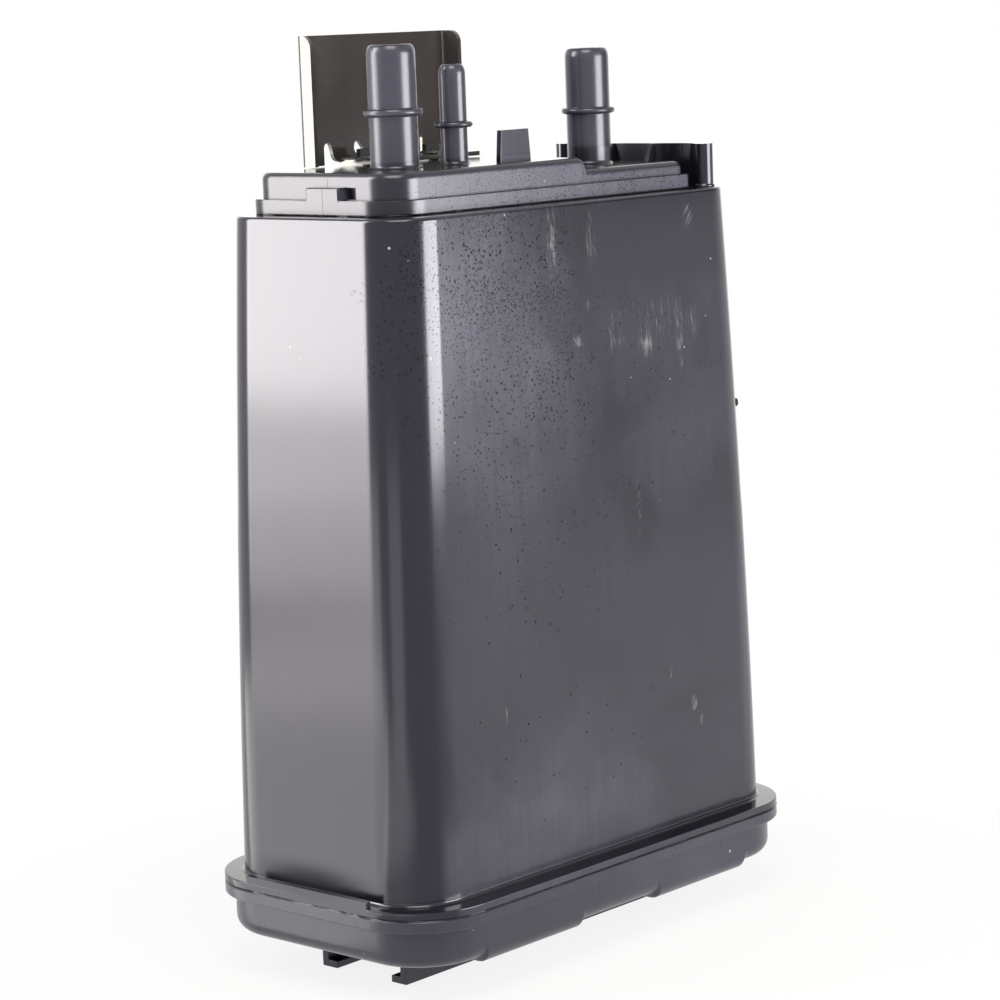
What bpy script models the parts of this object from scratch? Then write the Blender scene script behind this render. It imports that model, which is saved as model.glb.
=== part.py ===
# Fuel vapour canister of a car: a welded plastic can filled with activated carbon.
# Metres, +Z up. The can stands on the two slide rails under its bottom cover.
# +X runs along the wide faces, -Y is the wide front face, the origin is at floor level
# under the middle of the flange.

import math

import bmesh
import bpy

# Fits
FIT_GAP = 0.0003                # between pieces that touch
SIDE_GAP = 0.0004               # round loose inner pieces

# Moulded body
BODY_TOP_LENGTH = 0.1709
BODY_TOP_WIDTH = 0.0823
BODY_TOP_CORNER = 0.0168
BODY_BOTTOM_LENGTH = 0.1875
BODY_BOTTOM_WIDTH = 0.0907
BODY_BOTTOM_CORNER = 0.0195
BODY_HEIGHT = 0.2154            # flange to top face
BODY_CROWN = 0.00064            # how far the walls bow out at mid height
BODY_WALL = 0.0025
BODY_TOP_EDGE = 0.0012
BODY_FOOT_FILLET = 0.0008
PARTITION_X = 0.0150
PARTITION_WALL = 0.0024
CHAMBER_CORNER = 0.0025
CEILING_RIB_DEPTH = 0.0055
CEILING_SLOT_ROWS = (-0.0200, 0.0, 0.0200)
CEILING_SLOT_WIDTH = 0.0120
CEILING_SLOT_MARGIN = 0.0030    # from the walls of the room above
CEILING_SLOT_CORNER = 0.0030

# Welded flanges
FLANGE_END_OVERHANG = 0.00555
FLANGE_SIDE_OVERHANG = 0.0080
FLANGE_CORNER = 0.0262
BODY_FLANGE = 0.0026
FLANGE_EDGE = 0.0004
LIP_HEIGHT = 0.0022
LIP_WALL = 0.0020
LIP_SETBACK = 0.0001            # from the flange's edge

# Ear wall on the far end of the body top
EAR_HEIGHT = 0.0151
EAR_WALL = 0.0024
EAR_SETBACK = 0.00825           # from the end of the top to the wall's far side
EAR_FRONT = -0.0330
EAR_REAR = 0.0298
EAR_POST_RADIUS = 0.0031
EAR_POCKET_DEPTH = 0.0026
EAR_POCKET_START = -0.0120
EAR_POCKET_END = -0.0290
GUSSET_WALL = 0.0018
GUSSET_FRONT_Y = -0.0115
GUSSET_REAR_Y = 0.0065
GUSSET_TOP_RUN = 0.0012

# Bottom cover
COVER_FLANGE = 0.0039
COVER_INSET = 0.0034            # flange edge to cover wall
COVER_CORNER = 0.0228
COVER_DEPTH = 0.0132            # flange to bottom face
COVER_EDGE = 0.0050
COVER_WALL = 0.0025
POCKET_DROP = 0.0020
POCKET_INNER = 0.0187           # the pockets lie between these distances from the middle
POCKET_OUTER = 0.0690
POCKET_SLOPE = 0.0022
RAIL_HEIGHT = 0.0130
RAIL_LENGTH = 0.1480
RAIL_SPACING = 0.0382           # outer face to outer face
RAIL_WEB = 0.0027
RAIL_FOOT = 0.0067
RAIL_FOOT_WALL = 0.0024
RAIL_ROOT = 0.0003              # how far the web runs into the cover's floor

# Port cover on top
CAP_LEFT_INSET = 0.00975        # from the near end of the body's top
CAP_RIGHT_INSET = 0.01835       # from its far end, which leaves room for the ear
CAP_SIDE_INSET = 0.00235
CAP_CORNER = 0.0112
CAP_WELD_STEP = 0.0012          # height of the weld bead under the cap
CAP_WELD_INSET = 0.0014
TIER_LOW_HEIGHT = 0.0047
TIER_HIGH_HEIGHT = 0.00835
TIER_INSET = 0.0026
TIER_EDGE = 0.0024
TIER_LOW_EDGE = 0.0005
STEP_PAST_PARTITION = 0.0014
STEP_DROP = 0.00405
STEP_ROUND = 0.0027
CAP_WALL = 0.0024
CAP_ROOM_CORNER = 0.0040
CAP_RIB_FROM_END = 0.04165      # between the tank port's room and the purge port's
CAP_RIB_WALL = 0.0022
TAB_X = -0.0042
TAB_Y = -0.0165
TAB_TOP_LENGTH = 0.0134
TAB_BASE_LENGTH = 0.0154
TAB_WALL = 0.0020
TAB_HEIGHT = 0.0103
KEY_FRONT = -0.0055
KEY_REAR = 0.0091
KEY_HEIGHT = 0.0039
KEY_SETBACK = 0.0001            # from the lower tier's end face
SLOT_LENGTH = 0.0054
SLOT_DEPTH = 0.0018

# Ports: end of the body's top that the port follows, its distance from that end, its y,
# and its tube: outer radius, wall, height over the cap, and the bead's height and size
PORTS = {
    "tank": dict(end=-1, inset=0.03865, y=-0.0032, radius=0.0079, wall=0.0018, height=0.0395,
                 bead_height=0.0179, bead_radius=0.00965, bead_thickness=0.0026),
    "purge": dict(end=-1, inset=0.06155, y=-0.0084, radius=0.0044, wall=0.0016, height=0.0323,
                  bead_height=0.0129, bead_radius=0.00625, bead_thickness=0.0020),
    "vent": dict(end=1, inset=0.03545, y=-0.0035, radius=0.0075, wall=0.0018, height=0.0393,
                 bead_height=0.0181, bead_radius=0.0092, bead_thickness=0.0022),
}
BEAD_SHOULDER = (0.8, 0.9)      # shares of the bead's rise and half thickness
BEAD_LAND = 0.45                # share of its half thickness that is cylindrical
PORT_FLARE = 0.0013
PORT_TIP = 0.0012
PORT_TIP_HEIGHT = 0.0026
PORT_ROOT = 0.0012
PORT_COLLAR = 0.0002            # straight height at the foot of the flare

# Steel bracket
SHEET = 0.0015
BRACKET_LEFT = -0.0505
BRACKET_WIDTH = 0.0710
BRACKET_HEIGHT = 0.0430         # over the cap
BRACKET_BACK = 0.0360           # rear face, at the cap's rear wall
LEFT_FLANGE = 0.0052
RIGHT_FLANGE = 0.0070
FLANGE_ROUND = 0.0042
NOTCH_HEIGHT = 0.0077
LEG_WIDTH = 0.0096
NOTCH_WIDTH = 0.0036             # at its top, beside the leg
NOTCH_FLARE = 0.0038            # corner radius between the notch and the foot
FOOT_LEFT = -0.0331
FOOT_RIGHT = 0.0235
FOOT_DEPTH = 0.0150
RELIEF_LEFT_X = -0.0218
RELIEF_RIGHT_X = 0.0062
RELIEF_LEFT_WIDTH = 0.0050
RELIEF_RIGHT_WIDTH = 0.0014
RELIEF_CLEAR = 0.0006           # from the foot's top to the relief slots
FOOT_CORNER = 0.0040
FOLD_SHARE = 0.3                # of the sheet, where the outer corner of a fold is flattened
INNER_FOLD = 0.0005             # bevel in the inner corner of a fold

# Screws that hold the bracket
SCREW_X = (-0.0280, 0.0040)
SCREW_SETBACK = 0.0085          # from the plate's front face
SCREW_RADIUS = 0.0025
SCREW_LENGTH = 0.0100
SCREW_HEX = 0.0080              # across the flats
SCREW_HEAD = 0.0032
SCREW_WASHER = 0.0052
SCREW_WASHER_HEIGHT = 0.0009
SCREW_WASHER_SLOPE = 0.0006
SCREW_HEAD_BEVEL = 0.0005
BOSS_RADIUS = 0.0048
BOSS_DEPTH = 0.0020             # left below the screw's tip

# Filling
FILTER = 0.0050
DIVIDER_Z = 0.1500
PLATE_LEVEL = 0.0380            # underside of the pressure plates
PLATE_THICKNESS = 0.0030
PLATE_BORDER = 0.0060
PLATE_COLUMNS = (4, 3)
PLATE_ROWS = 5
PLATE_BAR = 0.0028
SPRING_RADIUS = 0.0110          # to the middle of the wire
SPRING_WIRE = 0.0009
SPRING_TURNS = 4.0
SPRING_TURN_STEPS = 14
SPRING_CLOSED_RISE = 2.2        # rise of a closed end turn, in wire radii
SPRING_X = 0.0440
SPRING_Y = 0.0200
POST_HEIGHT = 0.0040
POST_GAP = 0.0006

# Fineness
CORNER_STEPS = 9
EDGE_STEPS = 3
ARC_STEPS = 6                   # half circles and rounded corners of thin walls
WALL_LEVELS = 10                # rings up the height of the can's outside
CHAMBER_LEVELS = 8
ROUND_STEPS = 28
INNER_CORNER_STEPS = 4
POST_STEPS = 16                 # sides of slim posts and bosses
PILOT_STEPS = 12
SCREW_STEPS = 18
SOCKET_STEPS = 6
BEND_STEPS = 4                  # arcs of folded sheet
CURVE_STEPS = 5                 # the cap's rounded step down
TIP_STEPS = 3                   # lead-in at a tube's end
BED_LEVELS = 5
HALF_BED_LEVELS = 3
CUT_MARGIN = 0.0040             # how far a cutter runs past what it cuts

# Levels and half sizes that follow from the sizes above
COVER_BOTTOM_Z = RAIL_HEIGHT
COVER_FLANGE_Z = COVER_BOTTOM_Z + COVER_DEPTH
COVER_TOP_Z = COVER_FLANGE_Z + COVER_FLANGE
FLANGE_BOTTOM_Z = COVER_TOP_Z + FIT_GAP
FLANGE_TOP_Z = FLANGE_BOTTOM_Z + BODY_FLANGE
BODY_TOP_Z = FLANGE_TOP_Z + BODY_HEIGHT
CEILING_Z = BODY_TOP_Z - BODY_WALL
CAP_BASE_Z = BODY_TOP_Z + FIT_GAP
TIER_LOW_Z = BODY_TOP_Z + CAP_WELD_STEP
TIER_STEP_Z = TIER_LOW_Z + TIER_LOW_HEIGHT
CAP_TOP_Z = TIER_STEP_Z + TIER_HIGH_HEIGHT
CAP_LOW_TOP_Z = CAP_TOP_Z - STEP_DROP
CAP_LEFT = -BODY_TOP_LENGTH / 2 + CAP_LEFT_INSET
CAP_RIGHT = BODY_TOP_LENGTH / 2 - CAP_RIGHT_INSET
CAP_HALF = BODY_TOP_WIDTH / 2 - CAP_SIDE_INSET
CAP_RIB_X = -BODY_TOP_LENGTH / 2 + CAP_RIB_FROM_END
STEP_X = PARTITION_X + STEP_PAST_PARTITION
FLANGE_HALF_X = BODY_BOTTOM_LENGTH / 2 + FLANGE_END_OVERHANG
FLANGE_HALF_Y = BODY_BOTTOM_WIDTH / 2 + FLANGE_SIDE_OVERHANG
PARTITION_LEFT = PARTITION_X - PARTITION_WALL / 2
PARTITION_RIGHT = PARTITION_X + PARTITION_WALL / 2
PLATE_FRONT = BRACKET_BACK - SHEET
FOOT_Z = CAP_TOP_Z + FIT_GAP
SCREW_Y = PLATE_FRONT - SCREW_SETBACK


# Helpers for meshes

def clear_scene():
    for thing in list(bpy.data.objects):
        bpy.data.objects.remove(thing, do_unlink=True)


def make_material(name, colour, roughness, metallic=0.0):
    material = bpy.data.materials.new(name)
    material.use_nodes = True
    shader = material.node_tree.nodes["Principled BSDF"]
    shader.inputs["Base Color"].default_value = (*colour, 1.0)
    shader.inputs["Roughness"].default_value = roughness
    shader.inputs["Metallic"].default_value = metallic
    return material


def make_object(name, bm, material=None):
    bmesh.ops.recalc_face_normals(bm, faces=bm.faces)
    mesh = bpy.data.meshes.new(name)
    bm.to_mesh(mesh)
    bm.free()
    mesh.shade_smooth()
    mesh.set_sharp_from_angle(angle=math.radians(35))
    thing = bpy.data.objects.new(name, mesh)
    bpy.context.scene.collection.objects.link(thing)
    if material is not None:
        mesh.materials.append(material)
    return thing


def outline(x0, x1, half, left_corner, right_corner, steps, stops=()):
    """Rounded rectangle, counter-clockwise; point i mirrors point -1-i across y = 0."""
    front = []
    for i in range(steps + 1):
        turn = math.pi / 2 * i / steps
        front.append((x0 + left_corner * (1 - math.cos(turn)),
                      -half + left_corner * (1 - math.sin(turn))))
    front += [(x, -half) for x in stops]
    for i in range(steps + 1):
        turn = math.pi / 2 * i / steps
        front.append((x1 - right_corner * (1 - math.sin(turn)),
                      -half + right_corner * (1 - math.cos(turn))))
    return front + [(x, -y) for x, y in reversed(front)]


def loft(name, rings, material=None, ruled_ends=False):
    """Skin a stack of rings from the lowest to the highest and close both ends.
    Ruled ends are strips across y, for ends that are not flat."""
    bm = bmesh.new()
    rows = [[bm.verts.new(point) for point in ring] for ring in rings]
    count = len(rows[0])
    for low, high in zip(rows, rows[1:]):
        for i in range(count):
            j = (i + 1) % count
            bm.faces.new((low[i], low[j], high[j], high[i]))
    for row, top in ((rows[0], False), (rows[-1], True)):
        if ruled_ends:
            for i in range(count // 2 - 1):
                quad = (row[i], row[i + 1], row[-2 - i], row[-1 - i])
                bm.faces.new(quad if top else quad[::-1])
        else:
            bm.faces.new(row if top else row[::-1])
    return make_object(name, bm, material)


def turned(name, profile, x, y, material=None, steps=ROUND_STEPS):
    """Turn a profile of (radius, height) pairs about the vertical through x, y."""
    rings = []
    for radius, z in profile:
        ring = []
        for i in range(steps):
            turn = 2 * math.pi * i / steps
            ring.append((x + radius * math.cos(turn), y + radius * math.sin(turn), z))
        rings.append(ring)
    return loft(name, rings, material)


def block(name, x0, x1, y0, y1, z0, z1, corner=0.0, steps=3, material=None):
    """Upright block, with rounded upright edges if a corner is given."""
    middle = (y0 + y1) / 2
    half = (y1 - y0) / 2
    if corner > 0:
        plan = outline(x0, x1, half, corner, corner, steps)
    else:
        plan = [(x0, -half), (x1, -half), (x1, half), (x0, half)]
    rings = [[(x, y + middle, z) for x, y in plan] for z in (z0, z1)]
    return loft(name, rings, material)


def extruded(name, points, low, high, axis, material=None):
    """Extrude a closed outline along x or y; the points are the other two coordinates."""
    def place(point, level):
        return (level, *point) if axis == "x" else (point[0], level, point[1])
    rings = [[place(point, level) for point in points] for level in (low, high)]
    return loft(name, rings, material)


def combine(target, tool, operation):
    """Join a shape to the target or cut it from the target, and keep it as a hidden guide."""
    modifier = target.modifiers.new(tool.name, "BOOLEAN")
    modifier.operation = operation
    modifier.object = tool
    modifier.solver = "EXACT"
    tool.hide_render = True
    tool.display_type = "WIRE"


def join(target, *tools):
    for tool in tools:
        combine(target, tool, "UNION")


def cut(target, *tools):
    for tool in tools:
        combine(target, tool, "DIFFERENCE")


# The body's tapered and crowned section

def body_section(z):
    """Half length, half width and corner radius of the body's outer wall at a level."""
    share = (z - FLANGE_TOP_Z) / BODY_HEIGHT
    inside = min(max(share, 0.0), 1.0)
    crown = 4 * BODY_CROWN * inside * (1 - inside)
    half_x = (BODY_BOTTOM_LENGTH + (BODY_TOP_LENGTH - BODY_BOTTOM_LENGTH) * share) / 2 + crown
    half_y = (BODY_BOTTOM_WIDTH + (BODY_TOP_WIDTH - BODY_BOTTOM_WIDTH) * share) / 2 + crown
    corner = BODY_BOTTOM_CORNER + (BODY_TOP_CORNER - BODY_BOTTOM_CORNER) * share
    return half_x, half_y, corner


def ring_at(z, half_x, half_y, corner, steps=CORNER_STEPS):
    return [(x, y, z) for x, y in outline(-half_x, half_x, half_y, corner, corner, steps)]


def chamber_ring(z, tank_side, gap=0.0, limits=None):
    """Section of one chamber, drawn in by a gap. Limits replace its ends along x."""
    half_x, half_y, corner = body_section(z)
    wall_corner = corner - BODY_WALL - gap
    half = half_y - BODY_WALL - gap
    if tank_side:
        x0, x1 = -half_x + BODY_WALL + gap, PARTITION_LEFT - gap
        radii = (wall_corner, CHAMBER_CORNER)
    else:
        x0, x1 = PARTITION_RIGHT + gap, half_x - BODY_WALL - gap
        radii = (CHAMBER_CORNER, wall_corner)
    if limits is not None:
        x0 = x0 if limits[0] is None else limits[0]
        x1 = x1 if limits[1] is None else limits[1]
    plan = outline(x0, x1, half, *radii, INNER_CORNER_STEPS)
    return [(x, y, z) for x, y in plan]


def levels(low, high, count):
    return [low + (high - low) * i / count for i in range(count + 1)]


# Moulded body: a tapered can, open below, with a weld flange, a partition between
# its two chambers, slots under the port cover and an ear wall on its far end.

def make_body(material):
    rings = [ring_at(FLANGE_BOTTOM_Z, FLANGE_HALF_X, FLANGE_HALF_Y, FLANGE_CORNER),
             ring_at(FLANGE_TOP_Z - FLANGE_EDGE, FLANGE_HALF_X, FLANGE_HALF_Y, FLANGE_CORNER),
             ring_at(FLANGE_TOP_Z, FLANGE_HALF_X - FLANGE_EDGE, FLANGE_HALF_Y - FLANGE_EDGE,
                     FLANGE_CORNER - FLANGE_EDGE)]
    half_x, half_y, corner = body_section(FLANGE_TOP_Z)
    fillet = BODY_FOOT_FILLET
    rings.append(ring_at(FLANGE_TOP_Z, half_x + fillet, half_y + fillet, corner + fillet))
    for z in levels(FLANGE_TOP_Z + fillet, BODY_TOP_Z - BODY_TOP_EDGE, WALL_LEVELS):
        rings.append(ring_at(z, *body_section(z)))
    half_x, half_y, corner = body_section(BODY_TOP_Z - BODY_TOP_EDGE)
    for i in range(1, EDGE_STEPS + 1):
        turn = math.pi / 2 * i / EDGE_STEPS
        inset = BODY_TOP_EDGE * (1 - math.cos(turn))
        z = BODY_TOP_Z - BODY_TOP_EDGE * (1 - math.sin(turn))
        rings.append(ring_at(z, half_x - inset, half_y - inset, corner - inset))
    body = loft("canister_body", rings, material)

    for side, tank_side in (("tank", True), ("vent", False)):
        stack = [chamber_ring(z, tank_side) for z in levels(FLANGE_BOTTOM_Z - CUT_MARGIN,
                                                            CEILING_Z, CHAMBER_LEVELS)]
        cut(body, loft("cut_chamber_" + side, stack))
    make_ceiling(body)
    make_lip(body)
    make_ear(body)
    return body


def cap_rooms():
    """The three rooms of the port cover along x, as (name, low, high)."""
    wall = TIER_INSET + CAP_WALL
    return (("tank", CAP_LEFT + wall, CAP_RIB_X - CAP_RIB_WALL / 2),
            ("purge", CAP_RIB_X + CAP_RIB_WALL / 2, PARTITION_LEFT - FIT_GAP),
            ("vent", PARTITION_RIGHT + CAP_WALL, CAP_RIGHT - wall))


def make_ceiling(body):
    """Three slots through the top face under each room of the cap, and the rib below
    the ceiling that parts the tank filter from the purge filter."""
    slot_half = CEILING_SLOT_WIDTH / 2
    margin = CEILING_SLOT_MARGIN
    for name, low, high in cap_rooms():
        for i, middle in enumerate(CEILING_SLOT_ROWS):
            cut(body, block("cut_slot_%s_%d" % (name, i), low + margin, high - margin,
                            middle - slot_half, middle + slot_half, CEILING_Z - CUT_MARGIN,
                            BODY_TOP_Z + CUT_MARGIN, corner=CEILING_SLOT_CORNER))
    half = body_section(CEILING_Z)[1] - BODY_WALL / 2
    join(body, block("add_ceiling_rib", CAP_RIB_X - CAP_RIB_WALL / 2,
                     CAP_RIB_X + CAP_RIB_WALL / 2, -half, half,
                     CEILING_Z - CEILING_RIB_DEPTH, CEILING_Z + BODY_WALL / 2))


def make_lip(body):
    """Raised lip on the straight end of the flange, flush with its edge."""
    half = FLANGE_HALF_Y - FLANGE_CORNER
    outer = -FLANGE_HALF_X + LIP_SETBACK
    join(body, block("add_flange_lip", outer, outer + LIP_WALL, -half, half,
                     FLANGE_TOP_Z - BODY_FLANGE / 2, FLANGE_TOP_Z + LIP_HEIGHT))


def make_ear(body):
    """Upright wall across the far end, with a shallow pocket, a round post at each end
    and two gussets that lean on it."""
    far = BODY_TOP_LENGTH / 2 - EAR_SETBACK
    root = BODY_TOP_Z - BODY_WALL / 2
    top = BODY_TOP_Z + EAR_HEIGHT
    centre = (EAR_POCKET_START + EAR_POCKET_END) / 2
    span = EAR_POCKET_START - EAR_POCKET_END
    spine = [(0.0, EAR_REAR), (0.0, EAR_POCKET_START)]
    for i in range(1, ARC_STEPS):
        turn = math.pi * i / ARC_STEPS
        spine.append((EAR_POCKET_DEPTH * math.sin(turn), centre + span / 2 * math.cos(turn)))
    spine += [(0.0, EAR_POCKET_END), (0.0, EAR_FRONT)]
    plan = [(far + x, y) for x, y in spine]
    plan += [(far + x - EAR_WALL, y) for x, y in reversed(spine)]
    wall = loft("add_ear_wall", [[(x, y, z) for x, y in plan] for z in (root, top)])
    join(body, wall)
    for name, y in (("front", EAR_FRONT), ("rear", EAR_REAR)):
        join(body, turned("add_ear_post_" + name, [(EAR_POST_RADIUS, root), (EAR_POST_RADIUS, top)],
                          far - EAR_WALL / 2, y, steps=POST_STEPS))
    # the gussets stop short of the cap's end
    near = CAP_RIGHT + FIT_GAP * 2
    inner = far - EAR_WALL
    for name, y in (("front", GUSSET_FRONT_Y), ("rear", GUSSET_REAR_Y)):
        side = [(near, root), (inner + EAR_WALL / 2, root), (inner + EAR_WALL / 2, top),
                (inner - GUSSET_TOP_RUN, top), (near, BODY_TOP_Z + EAR_WALL / 2)]
        join(body, extruded("add_gusset_" + name, side, y - GUSSET_WALL / 2,
                            y + GUSSET_WALL / 2, "y"))


# Bottom cover: a shallow tray with a weld flange, two pockets that hang lower than
# the rest of its floor, posts for the springs and two slide rails below.

def pocket_level(x):
    """How far the floor lies below the cover's bottom face, at most the pocket's drop."""
    across = abs(x)
    rise = min(across - POCKET_INNER, POCKET_OUTER - across) / POCKET_SLOPE
    share = min(max(rise, 0.0), 1.0)
    return POCKET_DROP * math.sin(share * math.pi / 2)


def pocket_stops(half_length):
    """Places along x where the floor changes its level."""
    stops = []
    for i in range(EDGE_STEPS + 1):
        run = POCKET_SLOPE * i / EDGE_STEPS
        stops += [POCKET_INNER + run, POCKET_OUTER - run]
    stops = [x for x in stops if x < half_length]
    return sorted([-x for x in stops] + stops)


def tray_ring(half_x, half_y, corner, z, drops, steps):
    plan = outline(-half_x, half_x, half_y, corner, corner, steps,
                   pocket_stops(half_x - corner))
    return [(x, y, z - (pocket_level(x) if drops else 0.0)) for x, y in plan]


def make_bottom_cover(material):
    half_x = FLANGE_HALF_X - COVER_INSET
    half_y = FLANGE_HALF_Y - COVER_INSET
    rings = []
    for i in range(EDGE_STEPS + 1):
        turn = math.pi / 2 * i / EDGE_STEPS
        inset = COVER_EDGE * (1 - math.sin(turn))
        rise = COVER_EDGE * (1 - math.cos(turn))
        rings.append(tray_ring(half_x - inset, half_y - inset, COVER_CORNER - inset,
                               COVER_BOTTOM_Z + rise, True, CORNER_STEPS))
    rings.append(tray_ring(half_x, half_y, COVER_CORNER, COVER_FLANGE_Z, False, CORNER_STEPS))
    for inset, z in ((FLANGE_EDGE, COVER_FLANGE_Z), (0.0, COVER_FLANGE_Z + FLANGE_EDGE),
                     (0.0, COVER_TOP_Z - FLANGE_EDGE), (FLANGE_EDGE, COVER_TOP_Z)):
        rings.append(tray_ring(FLANGE_HALF_X - inset, FLANGE_HALF_Y - inset,
                               FLANGE_CORNER - inset, z, False, CORNER_STEPS))
    cover = loft("bottom_cover", rings, material, ruled_ends=True)

    inner_x = half_x - COVER_WALL
    inner_y = half_y - COVER_WALL
    corner = COVER_CORNER - COVER_WALL
    edge = COVER_EDGE / 2
    hollow = [tray_ring(inner_x - edge, inner_y - edge, corner - edge,
                        COVER_BOTTOM_Z + COVER_WALL, True, INNER_CORNER_STEPS),
              tray_ring(inner_x, inner_y, corner, COVER_BOTTOM_Z + COVER_WALL + edge, True,
                        INNER_CORNER_STEPS),
              tray_ring(inner_x, inner_y, corner, COVER_TOP_Z + CUT_MARGIN, False,
                        INNER_CORNER_STEPS)]
    cut(cover, loft("cut_cover_hollow", hollow, ruled_ends=True))
    for i, (x, y) in enumerate(spring_places()):
        join(cover, turned("add_spring_post_%d" % i,
                           [(SPRING_RADIUS - SPRING_WIRE - POST_GAP,
                             COVER_BOTTOM_Z - POCKET_DROP + COVER_WALL / 2),
                            (SPRING_RADIUS - SPRING_WIRE - POST_GAP,
                             pocket_floor_z() + POST_HEIGHT - POST_GAP),
                            (SPRING_RADIUS - SPRING_WIRE - 2 * POST_GAP,
                             pocket_floor_z() + POST_HEIGHT)], x, y, steps=POST_STEPS))
    for name, side in (("front", -1), ("rear", 1)):
        outer = RAIL_SPACING / 2
        top = COVER_BOTTOM_Z + RAIL_ROOT
        shape = [(outer, 0.0), (outer, top), (outer - RAIL_WEB, top),
                 (outer - RAIL_WEB, RAIL_FOOT_WALL), (outer - RAIL_FOOT, RAIL_FOOT_WALL),
                 (outer - RAIL_FOOT, 0.0)]
        points = [(side * y, z) for y, z in shape]
        join(cover, extruded("add_rail_" + name, points, -RAIL_LENGTH / 2, RAIL_LENGTH / 2, "x"))
    return cover


def pocket_floor_z():
    return COVER_BOTTOM_Z - POCKET_DROP + COVER_WALL


def spring_places():
    return [(x, y) for x in (-SPRING_X, SPRING_X) for y in (-SPRING_Y, SPRING_Y)]


# Port cover: a hollow cap in two tiers, welded on the body's top face, with three
# tubes, an upright tab, and a key block beside a small slot on its end.

def cap_top(x):
    """Level of the cap's top along x: high, a rounded step down, then low."""
    start = STEP_X - STEP_ROUND
    if x <= start:
        return CAP_TOP_Z
    if x >= STEP_X:
        return CAP_LOW_TOP_Z
    run = (x - start) / STEP_ROUND
    return CAP_TOP_Z - STEP_DROP * (1 - math.sqrt(max(1 - run * run, 0.0)))


def upper_ring(inset, sink, stops):
    plan = outline(CAP_LEFT + TIER_INSET + inset, CAP_RIGHT - TIER_INSET - inset,
                   CAP_HALF - TIER_INSET - inset, CAP_CORNER - TIER_INSET - inset,
                   CAP_CORNER - TIER_INSET - inset, CORNER_STEPS, stops)
    return [(x, y, cap_top(x) - sink) for x, y in plan]


def make_port_cover(material):
    base = []
    for inset, z in ((CAP_WELD_INSET, CAP_BASE_Z), (CAP_WELD_INSET, TIER_LOW_Z), (0.0, TIER_LOW_Z),
                     (0.0, TIER_STEP_Z - TIER_LOW_EDGE), (TIER_LOW_EDGE, TIER_STEP_Z)):
        plan = outline(CAP_LEFT + inset, CAP_RIGHT - inset, CAP_HALF - inset,
                       CAP_CORNER - inset, CAP_CORNER - inset, CORNER_STEPS)
        base.append([(x, y, z) for x, y in plan])
    cap = loft("port_cover", base, material)

    start = STEP_X - STEP_ROUND
    stops = [start + STEP_ROUND * math.sin(math.pi / 2 * i / CURVE_STEPS)
             for i in range(CURVE_STEPS + 1)]
    floor = TIER_STEP_Z - TIER_LOW_HEIGHT / 2
    rings = [[(x, y, floor) for x, y, _ in upper_ring(0.0, 0.0, stops)]]
    for i in range(EDGE_STEPS + 2):
        turn = math.pi / 2 * i / (EDGE_STEPS + 1)
        rings.append(upper_ring(TIER_EDGE * (1 - math.cos(turn)), TIER_EDGE * (1 - math.sin(turn)),
                                stops))
    join(cap, loft("add_upper_tier", rings, ruled_ends=True))

    half = CAP_HALF - TIER_INSET - CAP_WALL
    for name, low, high in cap_rooms():
        roof = (CAP_LOW_TOP_Z if name == "vent" else CAP_TOP_Z) - CAP_WALL
        cut(cap, block("cut_room_" + name, low, high, -half, half, CAP_BASE_Z - CUT_MARGIN, roof,
                       corner=CAP_ROOM_CORNER))
    add_tab(cap)
    add_key(cap)
    for index, x in enumerate(SCREW_X):
        tip = FOOT_Z + SHEET + FIT_GAP - SCREW_LENGTH
        join(cap, turned("add_boss_%d" % index, [(BOSS_RADIUS, tip - BOSS_DEPTH),
                                                 (BOSS_RADIUS, CAP_TOP_Z - CAP_WALL / 2)],
                         x, SCREW_Y, steps=POST_STEPS))
        bore = SCREW_RADIUS + FIT_GAP
        cut(cap, turned("cut_pilot_%d" % index, [(bore, tip - FIT_GAP),
                                                 (bore, CAP_TOP_Z + CUT_MARGIN)],
                        x, SCREW_Y, steps=PILOT_STEPS))
    for name, port in PORTS.items():
        top = CAP_LOW_TOP_Z if name == "vent" else CAP_TOP_Z
        x = port["end"] * (BODY_TOP_LENGTH / 2 - port["inset"])
        join(cap, turned("add_port_" + name, port_profile(port, top), x, port["y"]))
        bore = port["radius"] - port["wall"]
        cut(cap, turned("cut_bore_" + name, [(bore, top - CAP_WALL - CUT_MARGIN / 2),
                                             (bore, top + port["height"] + CUT_MARGIN)],
                        x, port["y"]))
    return cap


def port_profile(port, top):
    """Tube with a flared root, a rounded bead and a tapered lead-in at its tip."""
    radius = port["radius"]
    profile = [(radius + PORT_FLARE, top - PORT_ROOT), (radius + PORT_FLARE, top + PORT_COLLAR)]
    for i in (1, 2):
        turn = math.pi / 2 * i / 2
        profile.append((radius + PORT_FLARE * (1 - math.sin(turn)),
                        top + PORT_COLLAR + PORT_FLARE * (1 - math.cos(turn))))
    middle = top + port["bead_height"]
    half = port["bead_thickness"] / 2
    rise = port["bead_radius"] - radius
    shoulder, ease = BEAD_SHOULDER
    profile += [(radius, middle - half), (radius + rise * shoulder, middle - half * ease),
                (radius + rise, middle - half * BEAD_LAND), (radius + rise, middle + half * BEAD_LAND),
                (radius + rise * shoulder, middle + half * ease), (radius, middle + half)]
    tip = top + port["height"]
    for i in range(TIP_STEPS + 1):
        turn = math.pi / 2 * i / TIP_STEPS
        profile.append((radius - PORT_TIP * (1 - math.cos(turn)),
                        tip - PORT_TIP_HEIGHT * (1 - math.sin(turn))))
    return profile


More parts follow.
